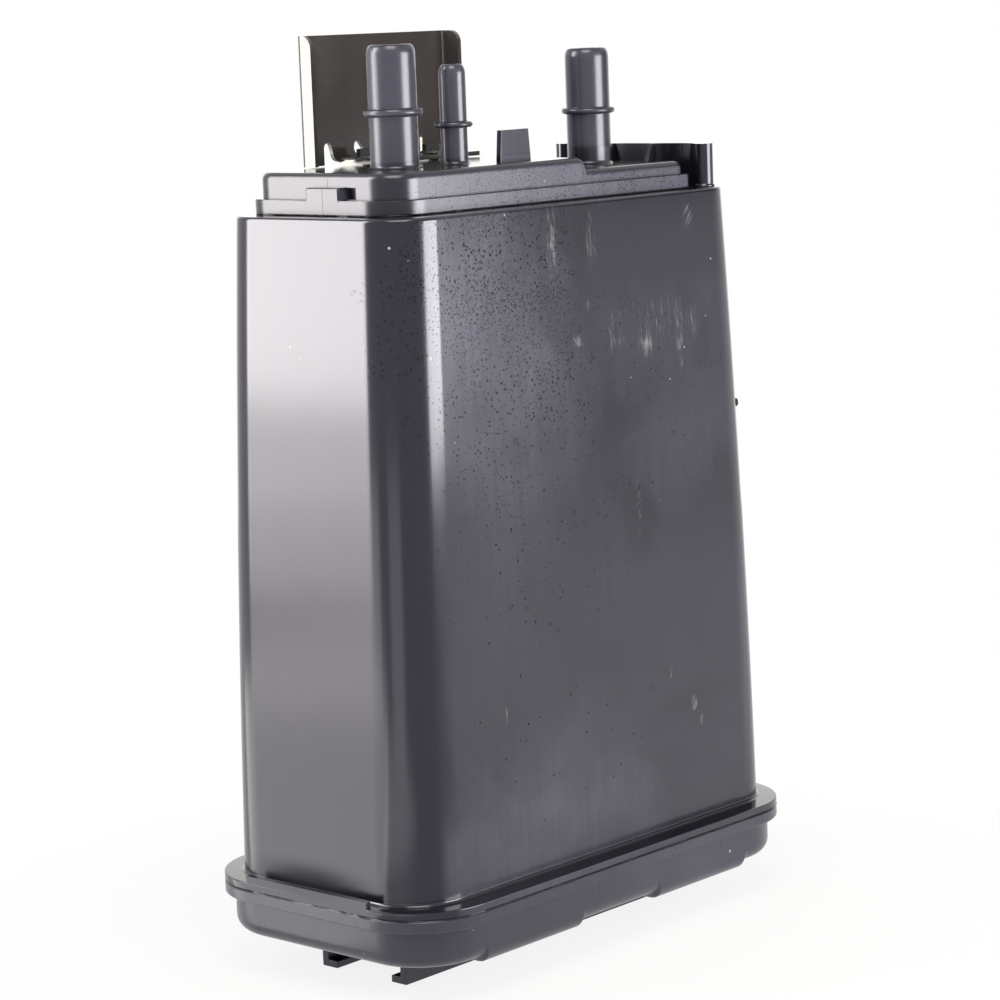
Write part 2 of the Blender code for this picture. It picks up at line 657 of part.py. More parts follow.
def add_tab(cap):
    """Upright tab, a little narrower at its top."""
    root = CAP_TOP_Z - CAP_WALL / 2
    side = [(TAB_X - TAB_BASE_LENGTH / 2, root), (TAB_X + TAB_BASE_LENGTH / 2, root),
            (TAB_X + TAB_TOP_LENGTH / 2, CAP_TOP_Z + TAB_HEIGHT),
            (TAB_X - TAB_TOP_LENGTH / 2, CAP_TOP_Z + TAB_HEIGHT)]
    join(cap, extruded("add_tab", side, TAB_Y - TAB_WALL / 2, TAB_Y + TAB_WALL / 2, "y"))


def add_key(cap):
    """Key block that carries the lower tier's end face up, and the slot beside it."""
    face = CAP_LEFT + TIER_INSET
    join(cap, block("add_key", CAP_LEFT + KEY_SETBACK, face + CAP_WALL / 2, KEY_FRONT,
                    KEY_REAR, TIER_STEP_Z - TIER_LOW_HEIGHT / 2, TIER_STEP_Z + KEY_HEIGHT))
    cut(cap, block("cut_slot_end", face - CUT_MARGIN, face + SLOT_DEPTH, KEY_FRONT - SLOT_LENGTH,
                   KEY_FRONT, TIER_STEP_Z, TIER_STEP_Z + KEY_HEIGHT))


# Steel bracket: one folded sheet, with a side flange at each end, a leg, and a foot
# folded forward over the cap for two screws.

def make_bracket(material):
    right = BRACKET_LEFT + BRACKET_WIDTH
    top = CAP_TOP_Z + BRACKET_HEIGHT
    bend = SHEET
    spine = [(BRACKET_LEFT, PLATE_FRONT - LEFT_FLANGE), (BRACKET_LEFT, BRACKET_BACK - bend),
             (BRACKET_LEFT + bend * FOLD_SHARE, BRACKET_BACK - bend * FOLD_SHARE),
             (BRACKET_LEFT + bend, BRACKET_BACK), (right - bend, BRACKET_BACK),
             (right - bend * FOLD_SHARE, BRACKET_BACK - bend * FOLD_SHARE), (right, BRACKET_BACK - bend),
             (right, PLATE_FRONT - RIGHT_FLANGE)]
    inner = [(right - SHEET, PLATE_FRONT - RIGHT_FLANGE), (right - SHEET, PLATE_FRONT - INNER_FOLD),
             (right - SHEET - INNER_FOLD, PLATE_FRONT), (BRACKET_LEFT + SHEET + INNER_FOLD, PLATE_FRONT),
             (BRACKET_LEFT + SHEET, PLATE_FRONT - INNER_FOLD),
             (BRACKET_LEFT + SHEET, PLATE_FRONT - LEFT_FLANGE)]
    plan = spine + inner
    bracket = loft("mounting_bracket", [[(x, y, z) for x, y in plan] for z in (FOOT_Z, top)],
                   material)
    # rounded top corners of the two side flanges
    for name, x0, x1, reach in (("left", BRACKET_LEFT - CUT_MARGIN, BRACKET_LEFT + SHEET * 2,
                                 LEFT_FLANGE),
                                ("right", right - SHEET * 2, right + CUT_MARGIN, RIGHT_FLANGE)):
        edge = PLATE_FRONT - reach
        radius = FLANGE_ROUND
        corner = [(edge - CUT_MARGIN, top + CUT_MARGIN), (edge - CUT_MARGIN, top - radius)]
        for i in range(ARC_STEPS + 1):
            turn = math.pi / 2 * i / ARC_STEPS
            corner.append((edge + radius * (1 - math.cos(turn)),
                           top - radius * (1 - math.sin(turn))))
        corner.append((edge + radius, top + CUT_MARGIN))
        cut(bracket, extruded("cut_corner_" + name, corner, x0, x1, "x"))
    # notch over the cap between the leg and the foot, wider below
    low = FOOT_Z - CUT_MARGIN
    arch = [(BRACKET_LEFT + LEG_WIDTH, low), (FOOT_LEFT, low)]
    flare_z = FOOT_Z + SHEET / 2 + NOTCH_FLARE
    for i in range(ARC_STEPS + 1):
        turn = math.pi / 2 * i / ARC_STEPS
        arch.append((FOOT_LEFT - NOTCH_FLARE * math.sin(turn),
                     flare_z - NOTCH_FLARE * math.cos(turn)))
    half = NOTCH_WIDTH / 2
    middle = BRACKET_LEFT + LEG_WIDTH + half
    spring = CAP_TOP_Z + NOTCH_HEIGHT - half
    for i in range(ARC_STEPS + 1):
        turn = math.pi * i / ARC_STEPS
        arch.append((middle + half * math.cos(turn), spring + half * math.sin(turn)))
    cut(bracket, extruded("cut_window", arch, PLATE_FRONT - CUT_MARGIN,
                          BRACKET_BACK + CUT_MARGIN, "y"))
    add_foot(bracket)
    return bracket


def add_foot(bracket):
    """Foot on the cap, with two relief slots in the plate at its bend and screw holes."""
    foot = block("add_foot", FOOT_LEFT, FOOT_RIGHT, BRACKET_BACK - FOOT_DEPTH,
                 BRACKET_BACK - SHEET / 4, FOOT_Z, FOOT_Z + SHEET, corner=FOOT_CORNER,
                 steps=BEND_STEPS)
    join(bracket, foot)
    for name, x, width in (("left", RELIEF_LEFT_X, RELIEF_LEFT_WIDTH),
                           ("right", RELIEF_RIGHT_X, RELIEF_RIGHT_WIDTH)):
        cut(bracket, block("cut_relief_" + name, x - width / 2, x + width / 2,
                           PLATE_FRONT - SHEET / 2, BRACKET_BACK + CUT_MARGIN,
                           FOOT_Z + SHEET + RELIEF_CLEAR, CAP_TOP_Z + NOTCH_HEIGHT))
    hole = SCREW_RADIUS + FIT_GAP
    for index, x in enumerate(SCREW_X):
        cut(bracket, turned("cut_screw_hole_%d" % index, [(hole, FOOT_Z - CUT_MARGIN / 4),
                                                          (hole, FOOT_Z + CUT_MARGIN)],
                            x, SCREW_Y, steps=POST_STEPS))


def make_screw(name, x, material):
    """Hexagon head with a pressed washer on a plain shank."""
    seat = FOOT_Z + SHEET + FIT_GAP
    tip = seat - SCREW_LENGTH
    point = SCREW_RADIUS / 3
    screw = turned(name, [(SCREW_RADIUS - point, tip), (SCREW_RADIUS, tip + point),
                          (SCREW_RADIUS, seat), (SCREW_WASHER, seat),
                          (SCREW_WASHER, seat + SCREW_WASHER_HEIGHT / 2),
                          (SCREW_WASHER - SCREW_WASHER_SLOPE, seat + SCREW_WASHER_HEIGHT)],
                   x, SCREW_Y, material, steps=SCREW_STEPS)
    corner = SCREW_HEX / 2 / math.cos(math.pi / 6)
    head = turned("add_hex_" + name, [(corner, seat + SCREW_WASHER_HEIGHT / 2),
                                      (corner, seat + SCREW_HEAD - SCREW_HEAD_BEVEL),
                                      (corner - SCREW_HEAD_BEVEL, seat + SCREW_HEAD)],
                  x, SCREW_Y, steps=SOCKET_STEPS)
    join(screw, head)
    return screw


# Filling: filters, carbon beds, pressure plates and their springs

def make_fill(name, tank_side, low, high, material, limits=None, count=1):
    """One slab of a chamber's filling, as wide as the chamber allows."""
    rings = [chamber_ring(z, tank_side, SIDE_GAP, limits) for z in levels(low, high, count)]
    return loft(name, rings, material)


def make_filling(foam, carbon):
    top = CEILING_Z - FIT_GAP
    rib = CAP_RIB_WALL / 2 + SIDE_GAP
    filter_low = top - FILTER
    make_fill("tank_filter", True, filter_low, top, foam, (None, CAP_RIB_X - rib))
    make_fill("purge_filter", True, filter_low, top, foam, (CAP_RIB_X + rib, None))
    make_fill("vent_filter", False, filter_low, top, foam)
    bed_top = CEILING_Z - CEILING_RIB_DEPTH - FIT_GAP
    vent_top = filter_low - FIT_GAP
    low_filter = PLATE_LEVEL + PLATE_THICKNESS + FIT_GAP
    bed_low = low_filter + FILTER + FIT_GAP
    make_fill("lower_tank_filter", True, low_filter, low_filter + FILTER, foam)
    make_fill("lower_vent_filter", False, low_filter, low_filter + FILTER, foam)
    make_fill("tank_carbon_bed", True, bed_low, bed_top, carbon, count=BED_LEVELS)
    half_filter = FILTER / 2
    make_fill("bed_divider", False, DIVIDER_Z - half_filter, DIVIDER_Z + half_filter, foam)
    make_fill("lower_vent_carbon_bed", False, bed_low, DIVIDER_Z - half_filter - FIT_GAP, carbon,
              count=HALF_BED_LEVELS)
    make_fill("upper_vent_carbon_bed", False, DIVIDER_Z + half_filter + FIT_GAP, vent_top, carbon,
              count=HALF_BED_LEVELS)


def make_pressure_plate(name, tank_side, columns, material):
    """Grid plate that the springs press up, with slots between its bars."""
    plate = make_fill(name, tank_side, PLATE_LEVEL, PLATE_LEVEL + PLATE_THICKNESS, material)
    half_x, half_y, _ = body_section(PLATE_LEVEL)
    edge = BODY_WALL + SIDE_GAP + PLATE_BORDER
    if tank_side:
        x0, x1 = -half_x + edge, PARTITION_LEFT - SIDE_GAP - PLATE_BORDER
    else:
        x0, x1 = PARTITION_RIGHT + SIDE_GAP + PLATE_BORDER, half_x - edge
    y0 = -half_y + edge
    pitch_x = (x1 - x0 + PLATE_BAR) / columns
    pitch_y = (-2 * y0 + PLATE_BAR) / PLATE_ROWS
    for column in range(columns):
        for row in range(PLATE_ROWS):
            low_x = x0 + column * pitch_x
            low_y = y0 + row * pitch_y
            cut(plate, block("cut_%s_%d_%d" % (name, column, row), low_x,
                             low_x + pitch_x - PLATE_BAR, low_y, low_y + pitch_y - PLATE_BAR,
                             PLATE_LEVEL - CUT_MARGIN, PLATE_LEVEL + PLATE_THICKNESS + CUT_MARGIN))
    return plate


def make_spring(name, x, y, material):
    """Coil spring with flat closed end turns, on a post of the cover."""
    curve = bpy.data.curves.new(name, "CURVE")
    curve.dimensions = "3D"
    curve.bevel_depth = SPRING_WIRE
    curve.bevel_resolution = 1
    curve.use_fill_caps = True
    low = pocket_floor_z() + FIT_GAP + SPRING_WIRE
    high = PLATE_LEVEL - FIT_GAP - SPRING_WIRE
    steps = int(SPRING_TURNS * SPRING_TURN_STEPS)
    pitch_lift = SPRING_WIRE * SPRING_CLOSED_RISE
    spline = curve.splines.new("POLY")
    spline.points.add(steps)
    for i in range(steps + 1):
        share = i / steps
        turn = 2 * math.pi * SPRING_TURNS * share
        # the first and last turns rise by little more than the wire
        end = 1 / SPRING_TURNS
        if share < end:
            z = low + pitch_lift * share / end
        elif share > 1 - end:
            z = high - pitch_lift * (1 - share) / end
        else:
            z = low + pitch_lift + (high - low - 2 * pitch_lift) * (share - end) / (1 - 2 * end)
        spline.points[i].co = (x + SPRING_RADIUS * math.cos(turn),
                               y + SPRING_RADIUS * math.sin(turn), z, 1.0)
    spring = bpy.data.objects.new(name, curve)
    bpy.context.scene.collection.objects.link(spring)
    curve.materials.append(material)
    return spring


def main():
    clear_scene()
    nylon = make_material("moulded nylon", (0.055, 0.056, 0.062), 0.36)
    nylon_inner = make_material("inner nylon", (0.070, 0.070, 0.072), 0.50)
    steel = make_material("black painted steel", (0.018, 0.017, 0.016), 0.45, 0.1)
    zinc = make_material("zinc plated steel", (0.42, 0.42, 0.40), 0.35, 0.9)
    foam = make_material("filter foam", (0.16, 0.16, 0.15), 0.95)
    carbon = make_material("carbon pellets", (0.012, 0.012, 0.012), 0.9)
    spring_steel = make_material("spring steel", (0.38, 0.38, 0.38), 0.35, 1.0)

    make_body(nylon)
    make_bottom_cover(nylon)
    make_port_cover(nylon)
    make_bracket(steel)
    for side, x in zip(("left", "right"), SCREW_X):
        make_screw("bracket_screw_" + side, x, zinc)
    make_filling(foam, carbon)
    make_pressure_plate("tank_pressure_plate", True, PLATE_COLUMNS[0], nylon_inner)
    make_pressure_plate("vent_pressure_plate", False, PLATE_COLUMNS[1], nylon_inner)
    names = ("tank_spring_front", "tank_spring_rear", "vent_spring_front", "vent_spring_rear")
    for name, (x, y) in zip(names, spring_places()):
        make_spring(name, x, y, spring_steel)


main()
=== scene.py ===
import math

import bmesh
import bpy
from mathutils import Matrix, Vector, noise


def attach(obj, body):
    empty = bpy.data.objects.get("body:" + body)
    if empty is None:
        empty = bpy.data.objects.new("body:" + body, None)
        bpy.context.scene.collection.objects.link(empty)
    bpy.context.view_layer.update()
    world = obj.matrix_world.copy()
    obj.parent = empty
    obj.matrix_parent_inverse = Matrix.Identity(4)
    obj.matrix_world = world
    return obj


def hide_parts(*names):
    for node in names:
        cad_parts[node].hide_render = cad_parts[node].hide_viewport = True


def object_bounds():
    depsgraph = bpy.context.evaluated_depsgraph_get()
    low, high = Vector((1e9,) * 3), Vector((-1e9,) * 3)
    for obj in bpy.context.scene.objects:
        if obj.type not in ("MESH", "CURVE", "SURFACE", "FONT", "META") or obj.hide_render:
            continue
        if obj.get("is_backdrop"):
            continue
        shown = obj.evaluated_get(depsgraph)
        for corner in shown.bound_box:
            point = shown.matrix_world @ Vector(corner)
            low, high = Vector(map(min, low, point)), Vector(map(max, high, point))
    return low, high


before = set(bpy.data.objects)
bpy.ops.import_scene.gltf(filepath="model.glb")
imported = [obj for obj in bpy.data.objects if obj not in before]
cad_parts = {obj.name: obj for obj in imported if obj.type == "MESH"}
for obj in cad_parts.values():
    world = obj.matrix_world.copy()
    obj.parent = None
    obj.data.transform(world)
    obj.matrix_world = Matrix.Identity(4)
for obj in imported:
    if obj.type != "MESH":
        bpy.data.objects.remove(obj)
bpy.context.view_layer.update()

# Moulded can
# The housing is one injection moulding in black glass-filled nylon: a tapered box, open
# below, with slightly bowed walls, a weld flange round its mouth, a partition inside and
# an ear wall with two posts on the far end of its top face.

can_foot_z = 0.0304             # underside of the flange
can_flange_top_z = 0.0330
can_height = 0.2163             # flange to top face
can_top_z = can_flange_top_z + can_height
can_top_size = (0.1709, 0.0823, 0.0168)         # length, width, corner radius
can_bottom_size = (0.1875, 0.0907, 0.0195)
can_bow = 0.00064
can_wall = 0.0025
can_top_edge = 0.0012
can_foot_fillet = 0.0012
flange_half = (0.0993, 0.05335)
flange_corner = 0.0262
partition_x = 0.0150
partition_half = 0.0012
past = 0.004                    # how far cutting shapes reach past what they cut


def quarter(steps, first=0):
    """Even turns from 0 to a right angle."""
    return [math.pi / 2 * i / steps for i in range(first, steps + 1)]


def outline(x0, x1, half, near_corner, far_corner, steps, stops=()):
    """Rounded rectangle in plan; point i mirrors point -1-i across y = 0."""
    front = []
    for turn in quarter(steps):
        front.append((x0 + near_corner * (1 - math.cos(turn)),
                      -half + near_corner * (1 - math.sin(turn))))
    front += [(x, -half) for x in stops]
    for turn in quarter(steps):
        front.append((x1 - far_corner * (1 - math.sin(turn)),
                      -half + far_corner * (1 - math.cos(turn))))
    return front + [(x, -y) for x, y in reversed(front)]


def settle(name, bm, smooth_angle=32.0):
    """Turn a mesh under construction into a piece with smooth shading."""
    bmesh.ops.recalc_face_normals(bm, faces=bm.faces)
    mesh = bpy.data.meshes.new(name)
    bm.to_mesh(mesh)
    bm.free()
    mesh.shade_smooth()
    mesh.set_sharp_from_angle(angle=math.radians(smooth_angle))
    piece = bpy.data.objects.new(name, mesh)
    bpy.context.scene.collection.objects.link(piece)
    return piece


def skin(name, rings, strips=False):
    """Skin a stack of rings and close both ends, with strips across y if they aren't flat."""
    bm = bmesh.new()
    rows = [[bm.verts.new(point) for point in ring] for ring in rings]
    count = len(rows[0])
    for low, high in zip(rows, rows[1:]):
        for i in range(count):
            j = (i + 1) % count
            bm.faces.new((low[i], low[j], high[j], high[i]))
    for row in (rows[0], rows[-1]):
        if strips:
            for i in range(count // 2 - 1):
                bm.faces.new((row[i], row[i + 1], row[-2 - i], row[-1 - i]))
        else:
            bm.faces.new(row)
    return settle(name, bm)


def lathe(name, profile, x, y, steps, seams=(), seam_height=0.0):
    """Turn (radius, height) pairs about the vertical. A seam is a fine raised line."""
    turns = [2 * math.pi * i / steps for i in range(steps)]
    lifts = [0.0] * steps
    for seam in seams:
        nearest = min(range(steps), key=lambda i: abs(math.remainder(turns[i] - seam, math.tau)))
        turns[nearest] = seam % math.tau
        lifts[nearest] = seam_height
        for side in (-1, 1):
            turns.append((seam + side * math.radians(1.6)) % math.tau)
            lifts.append(0.0)
    order = sorted(range(len(turns)), key=lambda i: turns[i])
    rings = []
    for radius, z in profile:
        ring = []
        for i in order:
            reach = radius + lifts[i]
            ring.append((x + reach * math.cos(turns[i]), y + reach * math.sin(turns[i]), z))
        rings.append(ring)
    return skin(name, rings)


def slab(name, x0, x1, y0, y1, z0, z1, corner=0.0, steps=5):
    """Upright block, with rounded upright edges if a corner is given."""
    middle, half = (y0 + y1) / 2, (y1 - y0) / 2
    if corner > 0:
        plan = outline(x0, x1, half, corner, corner, steps)
    else:
        plan = [(x0, -half), (x1, -half), (x1, half), (x0, half)]
    return skin(name, [[(x, y + middle, z) for x, y in plan] for z in (z0, z1)])


def extrude(name, points, low, high, axis):
    """Extrude a closed outline along x or y; the points are the other two coordinates."""
    if axis == "x":
        rings = [[(level, *point) for point in points] for level in (low, high)]
    else:
        rings = [[(point[0], level, point[1]) for point in points] for level in (low, high)]
    return skin(name, rings)


def take_modifiers(piece):
    """Make the result of a piece's modifiers its own mesh."""
    graph = bpy.context.evaluated_depsgraph_get()
    mesh = bpy.data.meshes.new_from_object(piece.evaluated_get(graph))
    piece.modifiers.clear()
    piece.data = mesh


def fuse(piece, *tools, operation="UNION"):
    """Join shapes to a piece, or cut them from it."""
    for tool in tools:
        step = piece.modifiers.new("fuse", "BOOLEAN")
        step.operation = operation
        step.object = tool
        step.solver = "EXACT"
        take_modifiers(piece)
        bpy.data.objects.remove(tool)


def ease_edges(piece, width, segments=2, where=None):
    """Round the sharp edges of a piece, or those whose middle passes a test."""
    sharp = math.radians(38.0)
    bm = bmesh.new()
    bm.from_mesh(piece.data)
    bmesh.ops.dissolve_degenerate(bm, edges=bm.edges, dist=1e-6)
    weights = bm.edges.layers.float.new("bevel_weight_edge")
    for edge in bm.edges:
        if len(edge.link_faces) != 2 or edge.calc_face_angle(0.0) < sharp:
            continue
        middle = (edge.verts[0].co + edge.verts[1].co) / 2
        if where is None or where(middle):
            edge[weights] = 1.0
    bm.to_mesh(piece.data)
    bm.free()
    step = piece.modifiers.new("ease", "BEVEL")
    step.limit_method = "WEIGHT"
    step.width = width
    step.segments = segments
    step.use_clamp_overlap = True
    take_modifiers(piece)
    return piece


def even_shading(piece):
    """Smooth the round faces of a finished piece and keep its flat faces flat."""
    piece.data.shade_smooth()
    piece.data.set_sharp_from_angle(angle=math.radians(32.0))
    piece.modifiers.new("even shading", "WEIGHTED_NORMAL").keep_sharp = True


def can_section(z):
    """Half length, half width and corner radius of the can's outside at a level."""
    share = (z - can_flange_top_z) / can_height
    inside = min(max(share, 0.0), 1.0)
    bow = 4 * can_bow * inside * (1 - inside)
    length, width, corner = (a + (b - a) * share for a, b in zip(can_bottom_size, can_top_size))
    return length / 2 + bow, width / 2 + bow, corner


def level_ring(z, half_x, half_y, corner, steps=18):
    return [(x, y, z) for x, y in outline(-half_x, half_x, half_y, corner, corner, steps)]


def spread(low, high, count):
    return [low + (high - low) * i / count for i in range(count + 1)]


rings = []
for inset, z in ((0.0003, can_foot_z), (0.0, can_foot_z + 0.0003), (0.0, can_flange_top_z - 0.0005),
                 (0.00015, can_flange_top_z - 0.00015), (0.0005, can_flange_top_z)):
    rings.append(level_ring(z, flange_half[0] - inset, flange_half[1] - inset,
                            flange_corner - inset))
foot = can_section(can_flange_top_z)
for turn in quarter(4)[:-1]:
    reach = can_foot_fillet * (1 - math.sin(turn))
    rings.append(level_ring(can_flange_top_z + can_foot_fillet * (1 - math.cos(turn)),
                            *(size + reach for size in foot)))
for z in spread(can_flange_top_z + can_foot_fillet, can_top_z - can_top_edge, 36):
    rings.append(level_ring(z, *can_section(z)))
shoulder = can_section(can_top_z - can_top_edge)
for turn in quarter(6, 1):
    inset = can_top_edge * (1 - math.cos(turn))
    rings.append(level_ring(can_top_z - can_top_edge * (1 - math.sin(turn)),
                            *(size - inset for size in shoulder)))
can = skin("canister_housing", rings)

for tank_side in (True, False):
    stack = []
    for z in spread(can_foot_z - past, can_top_z - can_wall, 8):
        half_x, half_y, corner = can_section(z)
        ends = ((-half_x + can_wall, partition_x - partition_half) if tank_side
                else (partition_x + partition_half, half_x - can_wall))
        corners = (corner - can_wall, 0.0025) if tank_side else (0.0025, corner - can_wall)
        stack.append([(x, y, z) for x, y in outline(*ends, half_y - can_wall, *corners, 8)])
    fuse(can, skin("chamber", stack), operation="DIFFERENCE")

# raised lip on the straight near end of the flange, where the clamp of the welder bears
lip_half = flange_half[1] - flange_corner
lip_near_x, lip_far_x = -flange_half[0] + 0.0001, -flange_half[0] + 0.0021
fuse(can, slab("lip", lip_near_x, lip_far_x, -lip_half, lip_half,
               can_flange_top_z - 0.0013, can_flange_top_z + 0.0022))

# a burr that was left on the far corner
burr_x, burr_y = 0.0831, -0.0386
burr_profile = [(0.0004, 0.1722), (0.0010, 0.1730), (0.0010, 0.1744), (0.0004, 0.1752)]
fuse(can, lathe("burr", burr_profile, burr_x, burr_y, 10))

ear_far_x = 0.0772
ear_wall = 0.0024
ear_top_z = can_top_z + 0.0147
ear_root_z = can_top_z - 0.0012
ear_front_y, ear_rear_y = -0.0330, 0.0298
ear_post_radius = 0.0031
ear_pocket = (-0.0120, -0.0290, 0.0026)         # rear end, front end, depth
spine = [(0.0, ear_rear_y), (0.0, ear_pocket[0])]
for i in range(1, 12):
    turn = math.pi * i / 12
    spine.append((ear_pocket[2] * math.sin(turn), (ear_pocket[0] + ear_pocket[1]) / 2
                  + (ear_pocket[0] - ear_pocket[1]) / 2 * math.cos(turn)))
spine += [(0.0, ear_pocket[1]), (0.0, ear_front_y)]
plan = [(ear_far_x + x, y) for x, y in spine]
plan += [(ear_far_x + x - ear_wall, y) for x, y in reversed(spine)]
fuse(can, skin("ear", [[(x, y, z) for x, y in plan] for z in (ear_root_z, ear_top_z)]))
ear_middle_x = ear_far_x - ear_wall / 2
for y in (ear_front_y, ear_rear_y):
    fuse(can, lathe("ear post", [(ear_post_radius + 0.0004, ear_root_z),
                                 (ear_post_radius + 0.0004, can_top_z + 0.0004),
                                 (ear_post_radius, can_top_z + 0.0009),
                                 (ear_post_radius, ear_top_z)], ear_middle_x, y, 32))
gusset_near_x, gusset_half = 0.0677, 0.0009
for y in (-0.0115, 0.0065):
    side = [(gusset_near_x, ear_root_z), (ear_middle_x, ear_root_z), (ear_middle_x, ear_top_z),
            (ear_far_x - ear_wall - 0.0012, ear_top_z), (gusset_near_x, can_top_z + 0.0012)]
    fuse(can, extrude("gusset", side, y - gusset_half, y + gusset_half, "y"))

ease_edges(can, 0.00030, where=lambda p: p.z > can_top_z - 0.0001 or
           (p.x < -0.0965 and p.z > can_flange_top_z - 0.0001))
even_shading(can)
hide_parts("canister_body")
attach(can, "root")


class Board:
    """A node tree and short ways to place and wire its nodes."""

    def __init__(self, tree):
        self.tree = tree

    def put(self, kind, **settings):
        node = self.tree.nodes.new("ShaderNode" + kind)
        for key, value in settings.items():
            setattr(node, key, value)
        return node

    def wire(self, source, target):
        if isinstance(source, (int, float, tuple)):
            target.default_value = source
        else:
            self.tree.links.new(source, target)

    def math(self, operation, a, b=0.0, clamp=False):
        node = self.put("Math", operation=operation, use_clamp=clamp)
        self.wire(a, node.inputs[0])
        self.wire(b, node.inputs[1])
        return node.outputs[0]

    def times(self, a, b, clamp=False):
        return self.math("MULTIPLY", a, b, clamp)

    def plus(self, a, b):
        return self.math("ADD", a, b)

    def vector(self, operation, a, b=None, out="Vector"):
        node = self.put("VectorMath", operation=operation)
        self.wire(a, node.inputs[0])
        if b is not None:
            self.wire(b, node.inputs[1])
        return node.outputs[out]

    def axes(self, vector):
        node = self.put("SeparateXYZ")
        self.wire(vector, node.inputs[0])
        return node.outputs

    def cells(self, vector, scale):
        node = self.put("TexVoronoi")
        self.wire(vector, node.inputs["Vector"])
        self.wire(scale, node.inputs["Scale"])
        return node.outputs

    def ramp(self, value, low, high):
        node = self.put("MapRange", interpolation_type="SMOOTHSTEP")
        self.wire(value, node.inputs["Value"])
        self.wire(low, node.inputs["From Min"])
        self.wire(high, node.inputs["From Max"])
        return node.outputs["Result"]

    def noise(self, vector, scale, detail=2.0, roughness=0.5, out="Fac"):
        node = self.put("TexNoise")
        self.wire(vector, node.inputs["Vector"])
        self.wire(scale, node.inputs["Scale"])
        self.wire(detail, node.inputs["Detail"])
        self.wire(roughness, node.inputs["Roughness"])
        return node.outputs[out]

    def scaled(self, vector, scale, turn=(0.0, 0.0, 0.0)):
        node = self.put("Mapping")
        self.wire(vector, node.inputs["Vector"])
        node.inputs["Scale"].default_value = scale
        node.inputs["Rotation"].default_value = turn
        return node.outputs["Vector"]

    def blend(self, share, a, b):
        node = self.put("Mix", data_type="RGBA")
        self.wire(share, node.inputs["Factor"])
        self.wire(a, node.inputs[6])
        self.wire(b, node.inputs[7])
        return node.outputs[2]

    def group(self, tree, **values):
        node = self.put("Group")
        node.node_tree = tree
        for key, value in values.items():
            self.wire(value, node.inputs[key.replace("_", " ")])
        return node.outputs


def new_group(name, inputs, outputs):
    """A shader node group with named inputs and outputs, as a board."""
    tree = bpy.data.node_groups.new(name, "ShaderNodeTree")
    for label, kind, default in inputs:
        made = tree.interface.new_socket(name=label, in_out="INPUT",
                                         socket_type="NodeSocket" + kind)
        if default is not None:
            made.default_value = default
    for label, kind in outputs:
        tree.interface.new_socket(name=label, in_out="OUTPUT", socket_type="NodeSocket" + kind)
    return (tree, Board(tree), tree.nodes.new("NodeGroupInput").outputs,
            tree.nodes.new("NodeGroupOutput").inputs)


# fine spark-eroded grain of the mould, the slow waves of a shrunk wall, and wiped streaks
skin_group, board, given, result = new_group(
    "moulded skin", (("Vector", "Vector", None), ("Grain Scale", "Float", 1500.0),
                     ("Wave Scale", "Float", 38.0)),
    (("Grain", "Float"), ("Waves", "Float"), ("Tone", "Float"), ("Streaks", "Float")))
board.wire(board.noise(given["Vector"], given["Grain Scale"], 3.0), result["Grain"])
board.wire(board.noise(given["Vector"], given["Wave Scale"], 1.0), result["Waves"])
board.wire(board.noise(given["Vector"], 26.0, 4.0, 0.6), result["Tone"])
drawn_out = board.scaled(given["Vector"], (430.0, 430.0, 26.0))
board.wire(board.noise(drawn_out, 1.0, 4.0, 0.62), result["Streaks"])

# small round drops that dried dark; a share of the cells of a scatter holds one each
drop_group, board, given, result = new_group(
    "dried drops", (("Vector", "Vector", None), ("Cells", "Float", 1000.0),
                    ("Share", "Float", 0.5), ("Zone", "Float", 1.0)), (("Mask", "Float"),))
wobble = board.put("VectorMath", operation="SCALE")
board.wire(board.noise(given["Vector"], 1400.0, out="Color"), wobble.inputs[0])
wobble.inputs["Scale"].default_value = 0.00035
cells = board.cells(board.vector("ADD", given["Vector"], wobble.outputs[0]), given["Cells"])
split = board.put("SeparateColor")
board.wire(cells["Color"], split.inputs[0])
crowd = board.ramp(board.noise(given["Vector"], 60.0, 3.0, 0.6), 0.30, 0.62)
chance = board.times(board.times(given["Share"], given["Zone"]), board.plus(crowd, 0.35))
chosen = board.math("LESS_THAN", split.outputs[0], chance)
radius = board.plus(board.times(board.math("POWER", split.outputs[1], 1.5), 0.22), 0.24)
round_drop = board.ramp(cells["Distance"], radius, board.times(radius, 0.55))
board.wire(board.times(round_drop, chosen), result["Mask"])

# one bundle of fine scuffs: thin broken lines inside a soft patch
scuff_group, board, given, result = new_group(
    "scuff", (("Vector", "Vector", None), ("Zone", "Float", 1.0), ("Lean", "Float", 0.0),
              ("Density", "Float", 0.5)), (("Mask", "Float"),))
axes = board.put("CombineXYZ")
board.wire(given["Lean"], axes.inputs[1])
leaning = board.put("Mapping")
board.wire(given["Vector"], leaning.inputs["Vector"])
board.wire(axes.outputs[0], leaning.inputs["Rotation"])
lines = board.noise(board.scaled(leaning.outputs[0], (3800.0, 300.0, 120.0)), 1.0, 2.5, 0.62)
broken = board.noise(board.scaled(leaning.outputs[0], (520.0, 300.0, 210.0)), 1.0, 2.0, 0.6)
level = board.times(board.times(broken, given["Density"]),
                    board.math("POWER", given["Zone"], 0.45))
board.wire(board.ramp(board.math("SUBTRACT", lines, board.math("SUBTRACT", 0.735, level)),
                      0.0, 0.38), result["Mask"])

